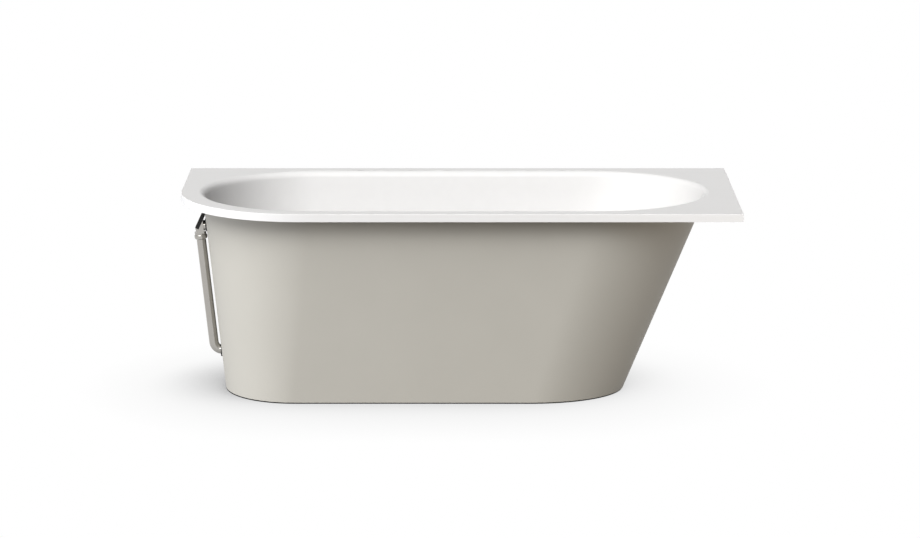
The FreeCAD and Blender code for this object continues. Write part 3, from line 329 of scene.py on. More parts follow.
def sanitary_acrylic():
    """Vacuum-formed acrylic: a soft gloss over white, with the faint draw waves of the mould."""
    material, tree, place = new_material("vacuum_formed_acrylic")
    waves = add_node(tree, "ShaderNodeTexNoise", {"Vector": place, "Scale": 1 / DRAW_WAVE, "Detail": 1.0})
    haze = add_node(tree, "ShaderNodeTexNoise", {"Vector": place, "Scale": 1 / POLISH_HAZE, "Detail": 4.0})
    tint = add_node(tree, "ShaderNodeMix", {
        "Factor": haze, "A": linear(ACRYLIC_WHITE), "B": linear(ACRYLIC_PALE)},
        data_type="RGBA")
    gloss = add_node(tree, "ShaderNodeMapRange", {"Value": haze, "To Min": 0.32, "To Max": 0.42})
    bump = add_node(tree, "ShaderNodeBump", {"Height": waves, "Strength": 0.06, "Distance": 0.002})
    shader = add_node(tree, "ShaderNodeBsdfPrincipled", {
        "Base Color": tint.outputs["Result"], "Roughness": gloss,
        "Normal": bump, "IOR": 1.49, "Specular IOR Level": 0.1})
    add_node(tree, "ShaderNodeOutputMaterial", {"Surface": shader})
    return material


def make_tub_shell():
    """Sheet with an inside and an outside, joined at the rim's edge and at the drain."""
    under = HEIGHT - SHEET
    floor_under = FLOOR_Z - SHEET
    edge_bottom = HEIGHT - RIM_EDGE
    edge = [rim_ring(0, edge_bottom), rim_ring(0, HEIGHT - EDGE_ROUND - SUPPORT)]
    for turn in np.radians(np.linspace(0, 90, EDGE_STEPS)):
        drop = EDGE_ROUND * (1 - math.sin(turn))
        edge.append(rim_ring(EDGE_ROUND * (1 - math.cos(turn)), HEIGHT - drop))
    edge.append(rim_ring(EDGE_ROUND + SUPPORT, HEIGHT))
    lip = rounded_top(HEIGHT, LIP_RADIUS, 0, rows=15)
    foot = rounded_foot(FLOOR_Z, FLOOR_RADIUS, 0, rows=17)
    inside = edge + lip + wall_between(lip[-1], foot[0], 0, rows=14) + foot
    outer_lip = rounded_top(under, LIP_RADIUS - SHEET, SHEET, rows=11)
    outer_foot = rounded_foot(floor_under, FLOOR_RADIUS + SHEET, SHEET, rows=13)
    outside = [rim_ring(SHEET, edge_bottom), rim_ring(SHEET, under)] + outer_lip
    outside += wall_between(outer_lip[-1], outer_foot[0], SHEET, rows=10) + outer_foot
    shape = bmesh.new()
    top = lay_rings(shape, inside)
    bottom = lay_rings(shape, outside)
    join_rows(shape, bottom[0], top[0])
    levels = (FLOOR_Z, floor_under)
    drain = lay_rings(shape, [circle(DRAIN_X, 0, z, DRAIN_HOLE, DRAIN_SIDES) for z in levels])
    fill_between(shape, top[-1], drain[0])
    fill_between(shape, bottom[-1], drain[1])
    piece = piece_from(shape, "acrylic_tub", sharp_degrees=32)
    hole = bmesh.new()
    add_overflow_hole(hole, 0)
    cut_from(piece, piece_from(hole, "overflow_hole", sharp_degrees=30), sharp_degrees=32)
    return piece


acrylic_tub = make_tub_shell()
acrylic_tub.data.materials.append(sanitary_acrylic())
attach(acrylic_tub, "tub")
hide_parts("tub_shell")


# Rim core and base board: raw moisture-resistant chipboard, sawn to shape and bonded under the
# rim and under the floor of the sheet, where it takes the screws.

WOOD_DARK = "#a98a62"
WOOD_PALE = "#cbb08a"
WOOD_DUST = "#b99b74"
FLAKE = 0.006
SAW_GRAIN = 0.002


def chipboard():
    """Raw chipboard: pressed flakes of mixed wood, dull and slightly rough."""
    material, tree, place = new_material("raw_chipboard")
    flakes = add_node(tree, "ShaderNodeTexVoronoi", {
        "Vector": place, "Scale": 1 / FLAKE, "Randomness": 1.0})
    dust = add_node(tree, "ShaderNodeTexNoise", {"Vector": place, "Scale": 1 / SAW_GRAIN, "Detail": 3.0})
    shade = add_node(tree, "ShaderNodeSeparateColor", {"Color": flakes.outputs["Color"]})
    wood = add_node(tree, "ShaderNodeMix", {
        "Factor": shade, "A": linear(WOOD_DARK), "B": linear(WOOD_PALE)}, data_type="RGBA")
    mixed = add_node(tree, "ShaderNodeMix", {
        "Factor": dust, "A": wood.outputs["Result"], "B": linear(WOOD_DUST)},
        data_type="RGBA")
    bump = add_node(tree, "ShaderNodeBump", {"Height": dust, "Strength": 0.4, "Distance": 0.0006})
    shader = add_node(tree, "ShaderNodeBsdfPrincipled", {
        "Base Color": mixed.outputs["Result"], "Roughness": 0.85, "Normal": bump})
    add_node(tree, "ShaderNodeOutputMaterial", {"Surface": shader})
    return material


def dress(material, *nodes):
    """Gives CAD nodes their finish."""
    for name in nodes:
        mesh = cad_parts[name].data
        mesh.materials.clear()
        mesh.materials.append(material)


dress(chipboard(), "rim_core", "base_board")


# Foot rails: two lengths of steel sheet pressed to a hat section and zinc-plated, with their
# nuts. Each is screwed across the base board by its brims.

ZINC_DARK = "#a9adb0"
ZINC_PALE = "#c6c8c6"
ZINC_CLOUD = 0.009


def zinc_plated_steel():
    """Zinc-plated steel: cool grey metal with a soft cloudy sheen."""
    material, tree, place = new_material("zinc_plated_steel")
    cloud = add_node(tree, "ShaderNodeTexNoise", {"Vector": place, "Scale": 1 / ZINC_CLOUD, "Detail": 5.0})
    tint = add_node(tree, "ShaderNodeMix", {
        "Factor": cloud, "A": linear(ZINC_DARK), "B": linear(ZINC_PALE)}, data_type="RGBA")
    rough = add_node(tree, "ShaderNodeMapRange", {"Value": cloud, "To Min": 0.28, "To Max": 0.46})
    shader = add_node(tree, "ShaderNodeBsdfPrincipled", {
        "Base Color": tint.outputs["Result"], "Metallic": 1.0, "Roughness": rough})
    add_node(tree, "ShaderNodeOutputMaterial", {"Surface": shader})
    return material


zinc = zinc_plated_steel()
dress(zinc, "foot_rail_left", "foot_rail_right", "foot_nuts")


# Rail screws: pan-head wood screws with a cross recess, turned up through the rails' brims. One
# screw is built from a cone, bars and a cylinder and set on the places that the CAD node gives.

SCREW_RADIUS = 0.0020
SCREW_HEAD_RADIUS = 0.0042
SCREW_HEAD = 0.0024
SCREW_LENGTH = 0.014
RAIL_STEEL = 0.002
SHANK_SIDES = 20
HEAD_SIDES = 32
SPIN_SEED = 7

# Shares of the head's radius: its flat crown, and the length and width of a recess bar.
CROWN_SHARE = 0.7
RECESS_LENGTH_SHARE = 1.1
RECESS_WIDTH_SHARE = 0.22


def node_group(name, points, sizes, finish):
    """Geometry node group: points, named sizes and a finish go in, one mesh comes out."""
    tree = bpy.data.node_groups.new(name, "GeometryNodeTree")
    inputs = [(points, "NodeSocketGeometry"), *((size, "NodeSocketFloat") for size in sizes),
              (finish, "NodeSocketMaterial")]
    for label, kind in inputs:
        tree.interface.new_socket(label, in_out="INPUT", socket_type=kind)
    tree.interface.new_socket("Mesh", in_out="OUTPUT", socket_type="NodeSocketGeometry")
    return tree, add_node(tree, "NodeGroupInput").outputs


def close_group(tree, geometry, finish):
    """Ends a node group: real faces with their finish."""
    real = add_node(tree, "GeometryNodeRealizeInstances", {"Geometry": geometry})
    finished = add_node(tree, "GeometryNodeSetMaterial", {"Geometry": real, "Material": finish})
    add_node(tree, "NodeGroupOutput", {"Mesh": finished})


def grow_piece(name, tree, values, points, sharp_degrees):
    """Object with the mesh that a node group makes on the points from the values of its inputs."""
    seed = bpy.data.meshes.new(name)
    seed.from_pydata(points, [], [])
    holder = bpy.data.objects.new(name, seed)
    bpy.context.scene.collection.objects.link(holder)
    growth = holder.modifiers.new("growth", "NODES")
    growth.node_group = tree
    for item in tree.interface.items_tree:
        if item.name in values:
            growth[item.identifier] = values[item.name]
    graph = bpy.context.evaluated_depsgraph_get()
    mesh = bpy.data.meshes.new_from_object(holder.evaluated_get(graph))
    bpy.data.objects.remove(holder)
    mesh.materials.pop(index=0)  # the seed's own empty slot
    return piece_with(mesh, name, sharp_degrees)


def screw_group():
    """Cross-recessed screws, one on each point: the head hangs under it and the shank goes up."""
    sizes = ("Radius", "Length", "Head Radius", "Head Height")
    tree, given = node_group("pan_head_screws", "Places", sizes, "Metal")

    # The head is a cone, and two crossed bars take the recess out of its crown.
    crown = add_node(tree, "ShaderNodeMath", {0: given["Head Radius"], 1: CROWN_SHARE}, operation="MULTIPLY")
    head = add_node(tree, "GeometryNodeMeshCone", {
        "Vertices": HEAD_SIDES, "Radius Top": given["Head Radius"], "Radius Bottom": crown,
        "Depth": given["Head Height"]})
    hang = add_node(tree, "ShaderNodeCombineXYZ", {"Z": given["Head Height"]})
    under = add_node(tree, "ShaderNodeVectorMath", {0: hang, 1: (0, 0, -1)}, operation="MULTIPLY")
    cut = add_node(tree, "GeometryNodeTransform", {"Geometry": head, "Translation": under})
    long = add_node(tree, "ShaderNodeMath", {
        0: given["Head Radius"], 1: RECESS_LENGTH_SHARE}, operation="MULTIPLY")
    wide = add_node(tree, "ShaderNodeMath", {
        0: given["Head Radius"], 1: RECESS_WIDTH_SHARE}, operation="MULTIPLY")
    for x, y in ((long, wide), (wide, long)):
        box = add_node(tree, "ShaderNodeCombineXYZ", {"X": x, "Y": y, "Z": given["Head Height"]})
        bar = add_node(tree, "GeometryNodeMeshCube", {"Size": box})
        low = add_node(tree, "GeometryNodeTransform", {"Geometry": bar, "Translation": under})
        cut = add_node(tree, "GeometryNodeMeshBoolean", {"Mesh 1": cut, "Mesh 2": low},
                       operation="DIFFERENCE", solver="EXACT")

    # The shank stands on the seat. Each screw is turned by chance, as a screwdriver leaves it.
    shank = add_node(tree, "GeometryNodeMeshCylinder", {
        "Vertices": SHANK_SIDES, "Radius": given["Radius"], "Depth": given["Length"]})
    middle = add_node(tree, "ShaderNodeMath", {0: given["Length"], 1: 0.5}, operation="MULTIPLY")
    rise = add_node(tree, "ShaderNodeCombineXYZ", {"Z": middle})
    shank_up = add_node(tree, "GeometryNodeTransform", {"Geometry": shank, "Translation": rise})
    screw = add_node(tree, "GeometryNodeJoinGeometry")
    for part in (cut, shank_up):
        tree.links.new(part.outputs[0], screw.inputs[0])
    spin = add_node(tree, "FunctionNodeRandomValue", {"Max": (0, 0, math.tau), "Seed": SPIN_SEED},
                    data_type="FLOAT_VECTOR")
    placed = add_node(tree, "GeometryNodeInstanceOnPoints", {
        "Points": given["Places"], "Instance": screw, "Rotation": spin})
    close_group(tree, placed, given["Metal"])
    return tree


def screw_seats(node):
    """Points under the heads' flat faces, one for each loose screw of a CAD node."""
    solid = bmesh.new()
    solid.from_mesh(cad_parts[node].data)
    bmesh.ops.remove_doubles(solid, verts=solid.verts, dist=SAME_POINT)
    waiting = set(solid.verts)
    seats = []
    while waiting:
        island, fresh = [], [waiting.pop()]
        while fresh:
            island.append(fresh.pop())
            near = {edge.other_vert(island[-1]) for edge in island[-1].link_edges} & waiting
            waiting -= near
            fresh += near
        points = np.array([vert.co for vert in island])
        low, high = points.min(axis=0), points.max(axis=0)
        seats.append(((low[0] + high[0]) / 2, (low[1] + high[1]) / 2, low[2] + SCREW_HEAD))
    solid.free()
    return sorted(seats)


screws = screw_group()
screw_sizes = {"Radius": SCREW_RADIUS, "Length": SCREW_LENGTH, "Head Radius": SCREW_HEAD_RADIUS,
               "Head Height": SCREW_HEAD, "Metal": zinc}
rail_screws = grow_piece("rail_wood_screws", screws, {**screw_sizes, "Length": SCREW_LENGTH - RAIL_STEEL},
                         screw_seats("rail_screws"), sharp_degrees=30)
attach(rail_screws, "tub")
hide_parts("rail_screws")


# Foot spindles: zinc-plated studs with a rolled M12 thread and a hexagon for the spanner, turned
# through the rails' nuts. A grid is wrapped round the stud, its radius following the pitch.

SPINDLE_RADIUS = 0.006
THREAD_PITCH = 0.00175
THREAD_DEPTH = 0.0009
SPINDLE_FLAT = 0.017
HEX_BOTTOM = 0.022
HEX_HEIGHT = 0.008
SPINDLE_SIDES = 24
SPINDLE_ROWS = 480

# Rows of the flat grid, which runs from -0.5 to 0.5: past the first value they lie in the stud's
# ends, and past the second they close on the axis.
END_ROW = 0.497
AXIS_ROW = 0.4985


def spindle_group():
    """Threaded stud along Z with a hexagon, on each point."""
    sizes = ("Bottom", "Top", "Radius", "Pitch", "Depth", "Hex Radius", "Hex Middle", "Hex Height")
    tree, given = node_group("threaded_spindle", "Place", sizes, "Metal")

    # X of the grid runs once round the stud and Y along it. The groove comes back with every pitch of
    # height and moves on with the turn, which makes it a helix.
    grid = add_node(tree, "GeometryNodeMeshGrid", {
        "Size X": 1.0, "Size Y": 1.0, "Vertices X": SPINDLE_SIDES + 1, "Vertices Y": SPINDLE_ROWS})
    flat = add_node(tree, "GeometryNodeInputPosition")
    spot = add_node(tree, "ShaderNodeSeparateXYZ", {0: flat}).outputs
    turn = add_node(tree, "ShaderNodeMath", {0: spot["X"], 1: math.tau}, operation="MULTIPLY")
    height = add_node(tree, "ShaderNodeMapRange", {
        "Value": spot["Y"], "From Min": -END_ROW, "From Max": END_ROW, "To Min": given["Bottom"],
        "To Max": given["Top"]})
    turns = add_node(tree, "ShaderNodeMath", {0: height, 1: given["Pitch"]}, operation="DIVIDE")
    phase = add_node(tree, "ShaderNodeMath", {0: turns, 1: spot["X"]}, operation="ADD")
    flank = add_node(tree, "ShaderNodeMath", {0: phase, 1: 0.5}, operation="PINGPONG")
    groove = add_node(tree, "ShaderNodeMath", {0: flank, 1: given["Depth"]}, operation="MULTIPLY")
    crest = add_node(tree, "ShaderNodeMath", {
        0: groove, 1: -2.0, 2: given["Radius"]}, operation="MULTIPLY_ADD")
    ahead = add_node(tree, "ShaderNodeMath", {0: spot["Y"]}, operation="ABSOLUTE")
    body = add_node(tree, "ShaderNodeMath", {0: ahead, 1: AXIS_ROW}, operation="LESS_THAN")
    reach = add_node(tree, "ShaderNodeMath", {0: crest, 1: body}, operation="MULTIPLY")
    along = add_node(tree, "ShaderNodeMath", {0: turn}, operation="COSINE")
    across = add_node(tree, "ShaderNodeMath", {0: turn}, operation="SINE")
    x = add_node(tree, "ShaderNodeMath", {0: along, 1: reach}, operation="MULTIPLY")
    y = add_node(tree, "ShaderNodeMath", {0: across, 1: reach}, operation="MULTIPLY")
    wrapped = add_node(tree, "ShaderNodeCombineXYZ", {"X": x, "Y": y, "Z": height})
    rod = add_node(tree, "GeometryNodeSetPosition", {"Geometry": grid, "Position": wrapped})
    closed = add_node(tree, "GeometryNodeMergeByDistance", {"Geometry": rod, "Distance": SAME_POINT})
    hexagon = add_node(tree, "GeometryNodeMeshCylinder", {
        "Vertices": 6, "Radius": given["Hex Radius"], "Depth": given["Hex Height"]})
    lift = add_node(tree, "ShaderNodeCombineXYZ", {"Z": given["Hex Middle"]})
    hex_up = add_node(tree, "GeometryNodeTransform", {"Geometry": hexagon, "Translation": lift})
    stud = add_node(tree, "GeometryNodeJoinGeometry")
    for part in (closed, hex_up):
        tree.links.new(part.outputs[0], stud.inputs[0])
    placed = add_node(tree, "GeometryNodeInstanceOnPoints", {"Points": given["Place"], "Instance": stud})
    close_group(tree, placed, given["Metal"])
    return tree


spindles = spindle_group()
for i in range(1, 5):
    corners = np.array(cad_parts[f"foot_spindle_{i}"].bound_box)
    low, high = corners.min(axis=0), corners.max(axis=0)
    spindle = grow_piece(f"threaded_spindle_{i}", spindles, {
        "Bottom": low[2], "Top": high[2], "Radius": SPINDLE_RADIUS, "Pitch": THREAD_PITCH,
        "Depth": THREAD_DEPTH, "Hex Radius": SPINDLE_FLAT / math.sqrt(3),
        "Hex Middle": HEX_BOTTOM + HEX_HEIGHT / 2, "Hex Height": HEX_HEIGHT, "Metal": zinc},
        [((low[0] + high[0]) / 2, (low[1] + high[1]) / 2, 0)], sharp_degrees=40)
    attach(spindle, f"foot_{i}")
    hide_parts(f"foot_spindle_{i}")


# Foot pads: round pads of black polypropylene, injection moulded and pushed on the spindles'
# lower ends, where they stand on the floor.

BLACK = "#0b0b0b"
BLACK_PALE = "#131212"
MOULD_GRAIN = 0.0012


def black_polypropylene():
    """Moulded black polypropylene: spark-eroded grain, drawn coarser than it is, and a dull sheen."""
    material, tree, place = new_material("black_polypropylene")
    grain = add_node(tree, "ShaderNodeTexNoise", {"Vector": place, "Scale": 1 / MOULD_GRAIN, "Detail": 2.0})
    tint = add_node(tree, "ShaderNodeMix", {
        "Factor": grain, "A": linear(BLACK), "B": linear(BLACK_PALE)}, data_type="RGBA")
    bump = add_node(tree, "ShaderNodeBump", {"Height": grain, "Strength": 0.15, "Distance": 0.0003})
    shader = add_node(tree, "ShaderNodeBsdfPrincipled", {
        "Base Color": tint.outputs["Result"], "Roughness": 0.5, "Specular IOR Level": 0.3,
        "Normal": bump})
    add_node(tree, "ShaderNodeOutputMaterial", {"Surface": shader})
    return material


black = black_polypropylene()
dress(black, *[f"foot_pad_{i}" for i in range(1, 5)])


# Outer skin: a tapered moulding in greige satin lacquer round the basin, bonded to the sheet and
# screwed to the rim core by its flange. Its section is swept round the tub's oval, and holes let
# the overflow, the pipe, the screws and the drain through.

SKIN = 0.003
GLUE = 0.0005
WALL_STACK = SHEET + GLUE + SKIN
SKIN_CLEAR = 0.004
SKIN_FLANGE = 0.030
SKIN_BEND = 0.004
CORE_BOARD = 0.014
CORE_BOTTOM = HEIGHT - SHEET - CORE_BOARD
PIPE_Z = 0.117
PIPE_HOLE = 0.019
PIPE_CUT_REACH = 0.030
CUTOUT_WIDTH = 0.220
CUTOUT_HEIGHT = 0.106
CUTOUT_RADIUS = 0.022
CUTOUT_STEPS = 10
WALL_ROWS = 24
BEND_ROWS = 7
END_STEPS = 32
GREIGE = "#b1aea6"
GREIGE_PALE = "#b5b2aa"
LACQUER_CLOUD = 0.150
SPRAY_GRAIN = 0.003


def greige_lacquer():
    """Satin lacquer on a moulding: even warm grey with a fine spray texture."""
    material, tree, place = new_material("greige_satin_lacquer")
    cloud = add_node(tree, "ShaderNodeTexNoise", {"Vector": place, "Scale": 1 / LACQUER_CLOUD, "Detail": 3.0})
    spray = add_node(tree, "ShaderNodeTexNoise", {"Vector": place, "Scale": 1 / SPRAY_GRAIN, "Detail": 2.0})
    tint = add_node(tree, "ShaderNodeMix", {
        "Factor": cloud, "A": linear(GREIGE), "B": linear(GREIGE_PALE)}, data_type="RGBA")
    rough = add_node(tree, "ShaderNodeMapRange", {"Value": cloud, "To Min": 0.50, "To Max": 0.58})
    bump = add_node(tree, "ShaderNodeBump", {"Height": spray, "Strength": 0.05, "Distance": 0.0004})
    shader = add_node(tree, "ShaderNodeBsdfPrincipled", {
        "Base Color": tint.outputs["Result"], "Roughness": rough,
        "Specular IOR Level": 0.2, "Normal": bump})
    add_node(tree, "ShaderNodeOutputMaterial", {"Surface": shader})
    return material


def skin_section():
    """Closed outline: up the outside, round the bend, out and back along the flange, down the inside."""
    flange_bottom = CORE_BOTTOM - SKIN
    bend_bottom = flange_bottom - SKIN_BEND
    brim = WALL_STACK + SKIN_FLANGE
    outline = [(WALL_STACK, z, z) for z in np.linspace(SKIN_CLEAR, bend_bottom, WALL_ROWS)]
    for turn in np.radians(np.linspace(0, 90, BEND_ROWS))[1:]:
        z = flange_bottom - SKIN_BEND * (1 - math.sin(turn))
        outline.append((WALL_STACK + SKIN_BEND * (1 - math.cos(turn)), z, z))
    outline += [(brim, flange_bottom, flange_bottom), (brim, flange_bottom, CORE_BOTTOM)]
    outline += [(WALL_STACK - SKIN, z, z) for z in np.linspace(CORE_BOTTOM, SKIN_CLEAR, WALL_ROWS)]
    return outline + outline[:1]


def oval_wall_group():
    """Section swept round the tub's oval. X of a section point is its stand-off from the wall, Y the
    level whose oval it follows and Z its height."""
    sizes = ("Height", "Foot End", "Foot Lean", "Foot Reach Top", "Foot Reach Base", "Back End", "Back Lean",
             "Back Reach Top", "Back Reach Base", "Half Width", "Side Lean")
    tree, given = node_group("oval_wall", "Section", sizes, "Lacquer")

    # One row of the grid for each section point, and one column for each point round the oval.
    section = add_node(tree, "GeometryNodeAttributeDomainSize", {"Geometry": given["Section"]},
                       component="MESH")
    rows = section.outputs["Point Count"]
    grid = add_node(tree, "GeometryNodeMeshGrid", {
        "Size X": 1.0, "Size Y": 1.0, "Vertices X": 4 * END_STEPS + 3, "Vertices Y": rows})
    place = add_node(tree, "GeometryNodeInputPosition")
    index = add_node(tree, "GeometryNodeInputIndex")
    row = add_node(tree, "ShaderNodeMath", {0: index, 1: rows}, operation="MODULO")
    sampled = add_node(tree, "GeometryNodeSampleIndex", {
        "Geometry": given["Section"], "Value": place, "Index": row}, data_type="FLOAT_VECTOR")
    point = add_node(tree, "ShaderNodeSeparateXYZ", {0: sampled})
    stand, level, height = (point.outputs[axis] for axis in "XYZ")

    # The oval at that level: how far each wall has come inward, and how far each end reaches.
    depth = add_node(tree, "ShaderNodeMath", {0: given["Height"], 1: level}, operation="SUBTRACT")
    fall = add_node(tree, "ShaderNodeMath", {0: depth, 1: given["Height"]}, operation="DIVIDE")
    inward, reach = {}, {}
    for side in ("Foot", "Back", "Side"):
        lean = given[f"{side} Lean"]
        slope = add_node(tree, "ShaderNodeMath", {0: lean}, operation="TANGENT")
        upright = add_node(tree, "ShaderNodeMath", {0: lean}, operation="COSINE")
        out = add_node(tree, "ShaderNodeMath", {0: stand, 1: upright}, operation="DIVIDE")
        sunk = add_node(tree, "ShaderNodeMath", {0: depth, 1: slope}, operation="MULTIPLY")
        inward[side] = add_node(tree, "ShaderNodeMath", {0: sunk, 1: out}, operation="SUBTRACT")
    for end in ("Foot", "Back"):
        held = add_node(tree, "ShaderNodeMix", {
            "Factor": fall, "A": given[f"{end} Reach Top"], "B": given[f"{end} Reach Base"]})
        reach[end] = add_node(tree, "ShaderNodeMath", {0: held, 1: stand}, operation="ADD")
    left = add_node(tree, "ShaderNodeMath", {0: given["Foot End"], 1: inward["Foot"]}, operation="ADD")
    foot = add_node(tree, "ShaderNodeMath", {0: left, 1: reach["Foot"]}, operation="ADD")
    right = add_node(tree, "ShaderNodeMath", {0: given["Back End"], 1: inward["Back"]}, operation="SUBTRACT")
    back = add_node(tree, "ShaderNodeMath", {0: right, 1: reach["Back"]}, operation="SUBTRACT")
    half = add_node(tree, "ShaderNodeMath", {0: given["Half Width"], 1: inward["Side"]}, operation="SUBTRACT")

    # The turn round the oval: a quarter turn over the back end, a jump along the straight side, and
    # a quarter turn over the foot end, the same on both hands.
    end_share = END_STEPS / (4 * END_STEPS + 2)
    flat = add_node(tree, "ShaderNodeSeparateXYZ", {0: place}).outputs["X"]
    share = add_node(tree, "ShaderNodeMath", {0: flat}, operation="ABSOLUTE")
    back_turn = add_node(tree, "ShaderNodeMapRange", {
        "Value": share, "From Max": end_share, "To Max": math.pi / 2})
    foot_turn = add_node(tree, "ShaderNodeMapRange", {
        "Value": share, "From Min": 0.5 - end_share, "From Max": 0.5, "To Max": math.pi / 2})
    turn = add_node(tree, "ShaderNodeMath", {0: back_turn, 1: foot_turn}, operation="ADD")
    at_back = add_node(tree, "ShaderNodeMath", {0: share, 1: 0.25}, operation="LESS_THAN")
    middle = add_node(tree, "ShaderNodeMix", {"Factor": at_back, "A": foot, "B": back})
    span = add_node(tree, "ShaderNodeMix", {"Factor": at_back, "A": reach["Foot"], "B": reach["Back"]})
    cosine = add_node(tree, "ShaderNodeMath", {0: turn}, operation="COSINE")
    sine = add_node(tree, "ShaderNodeMath", {0: turn}, operation="SINE")
    hand = add_node(tree, "ShaderNodeMath", {0: flat}, operation="SIGN")
    x = add_node(tree, "ShaderNodeMath", {
        0: cosine, 1: span, 2: middle},
        operation="MULTIPLY_ADD")
    swing = add_node(tree, "ShaderNodeMath", {0: sine, 1: half}, operation="MULTIPLY")
    y = add_node(tree, "ShaderNodeMath", {0: swing, 1: hand}, operation="MULTIPLY")
    wrapped = add_node(tree, "ShaderNodeCombineXYZ", {"X": x, "Y": y, "Z": height})
    wall = add_node(tree, "GeometryNodeSetPosition", {"Geometry": grid, "Position": wrapped})
    closed = add_node(tree, "GeometryNodeMergeByDistance", {"Geometry": wall, "Distance": SAME_POINT})
    close_group(tree, closed, given["Lacquer"])
    return tree


def cutout_outline():
    """Drain opening with two round upper corners, as X from its middle and Z."""
    half = CUTOUT_WIDTH / 2 - CUTOUT_RADIUS
    outline = [(-CUTOUT_WIDTH / 2, -CUTOUT_HEIGHT), (CUTOUT_WIDTH / 2, -CUTOUT_HEIGHT)]
    for middle, start in ((half, 0), (-half, 90)):
        for turn in np.radians(np.linspace(start, start + 90, CUTOUT_STEPS)):
            outline.append((middle + CUTOUT_RADIUS * math.cos(turn),
                            CUTOUT_HEIGHT - CUTOUT_RADIUS * (1 - math.sin(turn))))
    return outline


def skin_holes():
    """What is cut from the skin: overflow, pipe, screws and the drain's opening at the back."""
    holes = bmesh.new()
    add_overflow_hole(holes, WALL_STACK)
    face = wall_plan(PIPE_Z, WALL_STACK)[0]
    add_bar(holes, PIPE_HOLE, (face - PIPE_CUT_REACH, 0, PIPE_Z), (face + PIPE_CUT_REACH, 0, PIPE_Z))
    for x, y, z in screw_seats("skin_screws"):
        add_bar(holes, SCREW_RADIUS, (x, y, z - SKIN), (x, y, z + 2 * SKIN), SHANK_SIDES)
    outline = cutout_outline()
    ends = [[holes.verts.new((DRAIN_X + x, y, z)) for x, z in outline] for y in (0, WIDTH / 2)]
    for row in ends:
        holes.faces.new(row)
    join_rows(holes, *ends)
    return piece_from(holes, "skin_holes", sharp_degrees=30)


outer_shell = grow_piece("outer_shell", oval_wall_group(), {
    "Height": HEIGHT, "Foot End": FOOT_END, "Foot Lean": FOOT_LEAN, "Foot Reach Top": FOOT_REACH_TOP,
    "Foot Reach Base": FOOT_REACH_BASE, "Back End": BACK_END, "Back Lean": BACK_LEAN,
    "Back Reach Top": BACK_REACH_TOP, "Back Reach Base": BACK_REACH_BASE, "Half Width": HALF_WIDTH,
    "Side Lean": SIDE_LEAN, "Lacquer": greige_lacquer()}, skin_section(), sharp_degrees=32)
cut_from(outer_shell, skin_holes(), sharp_degrees=32)
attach(outer_shell, "tub")
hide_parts("outer_skin")


# Skin screws: the same zinc-plated screws, all round the skin's flange. They are turned up through
# it into the rim core and hold the skin under the rim.

skin_screws = grow_piece("skin_wood_screws", screws, screw_sizes, screw_seats("skin_screws"),
                         sharp_degrees=30)
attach(skin_screws, "tub")
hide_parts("skin_screws")


# Overflow fitting and waste: castings, turned pieces and tube of chromed brass. The hood is screwed
# to the inner flange through the foot end's wall and carries the pipe, a black moulded cap closes
# it, and steel pins pass the knob's turn on to the plug.

CHROME = "#aca9a4"
CHROME_PALE = "#b3b0ab"
HANDLING_HAZE = 0.025


def chromed_brass():
    """Chrome plate on polished brass: bright and even, with a faint haze of handling."""
    material, tree, place = new_material("chromed_brass")
    haze = add_node(tree, "ShaderNodeTexNoise", {"Vector": place, "Scale": 1 / HANDLING_HAZE, "Detail": 4.0})
    tint = add_node(tree, "ShaderNodeMix", {
        "Factor": haze, "A": linear(CHROME), "B": linear(CHROME_PALE)}, data_type="RGBA")
    rough = add_node(tree, "ShaderNodeMapRange", {"Value": haze, "To Min": 0.12, "To Max": 0.20})
    shader = add_node(tree, "ShaderNodeBsdfPrincipled", {
        "Base Color": tint.outputs["Result"], "Metallic": 1.0, "Roughness": rough})
    add_node(tree, "ShaderNodeOutputMaterial", {"Surface": shader})
    return material


chrome = chromed_brass()
dress(black, "overflow_cap")
dress(zinc, "knob_spindle", "lift_pin", "lever_pin")
dress(chrome, "overflow_sleeve", "overflow_knob", "overflow_hood", "overflow_pipe", "waste_flange",
      "waste_plug")


# Collar nut: a turned ring of chromed brass that draws the pipe up against the hood's socket. Its
# section is a round bead that tapers down to the pipe, spun about the pipe's line.

COLLAR_REACH = 0.022
COLLAR_TOP = -0.028
COLLAR_BEAD = 0.0118
COLLAR_FOOT = -0.042
COLLAR_SEAT = -0.039
COLLAR_RADIUS = 0.020
COLLAR_CREST = 0.0014
COLLAR_TIP = 0.0162
COLLAR_SIDES = 64
BEAD_STEPS = 13
SOCKET_BORE = 0.01808
PIPE_BORE = 0.01458


def make_collar_nut():
    """Ring about the pipe, from its section as height and radius in the overflow's frame."""
    section = [(COLLAR_SEAT, SOCKET_BORE), (COLLAR_TOP, SOCKET_BORE)]
    for turn in np.radians(np.linspace(90, -90, BEAD_STEPS)):
        section.append((COLLAR_TOP - COLLAR_BEAD / 2 * (1 - math.sin(turn)),
                        COLLAR_RADIUS - COLLAR_CREST * (1 - math.cos(turn))))
    section += [(COLLAR_FOOT, COLLAR_TIP), (COLLAR_FOOT, PIPE_BORE), (COLLAR_SEAT, PIPE_BORE)]
    place = overflow_place(WALL_STACK)
    shape = bmesh.new()
    rings = [circle(COLLAR_REACH, 0, height, radius, COLLAR_SIDES) for height, radius in section]
    rows = lay_rings(shape, [[place @ Vector(point) for point in ring] for ring in rings])
    join_rows(shape, rows[-1], rows[0])
    return piece_from(shape, "collar_ring", sharp_degrees=30)


collar_ring = make_collar_nut()
collar_ring.data.materials.append(chrome)
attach(collar_ring, "tub")
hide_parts("collar_nut")


# Seals: rings of black sealing rubber, moulded and pressed between the fittings and the walls, in
# the nuts and under the plug.

RUBBER = "#121212"
RUBBER_BLOOM = "#201f1f"
BLOOM_SPOT = 0.004


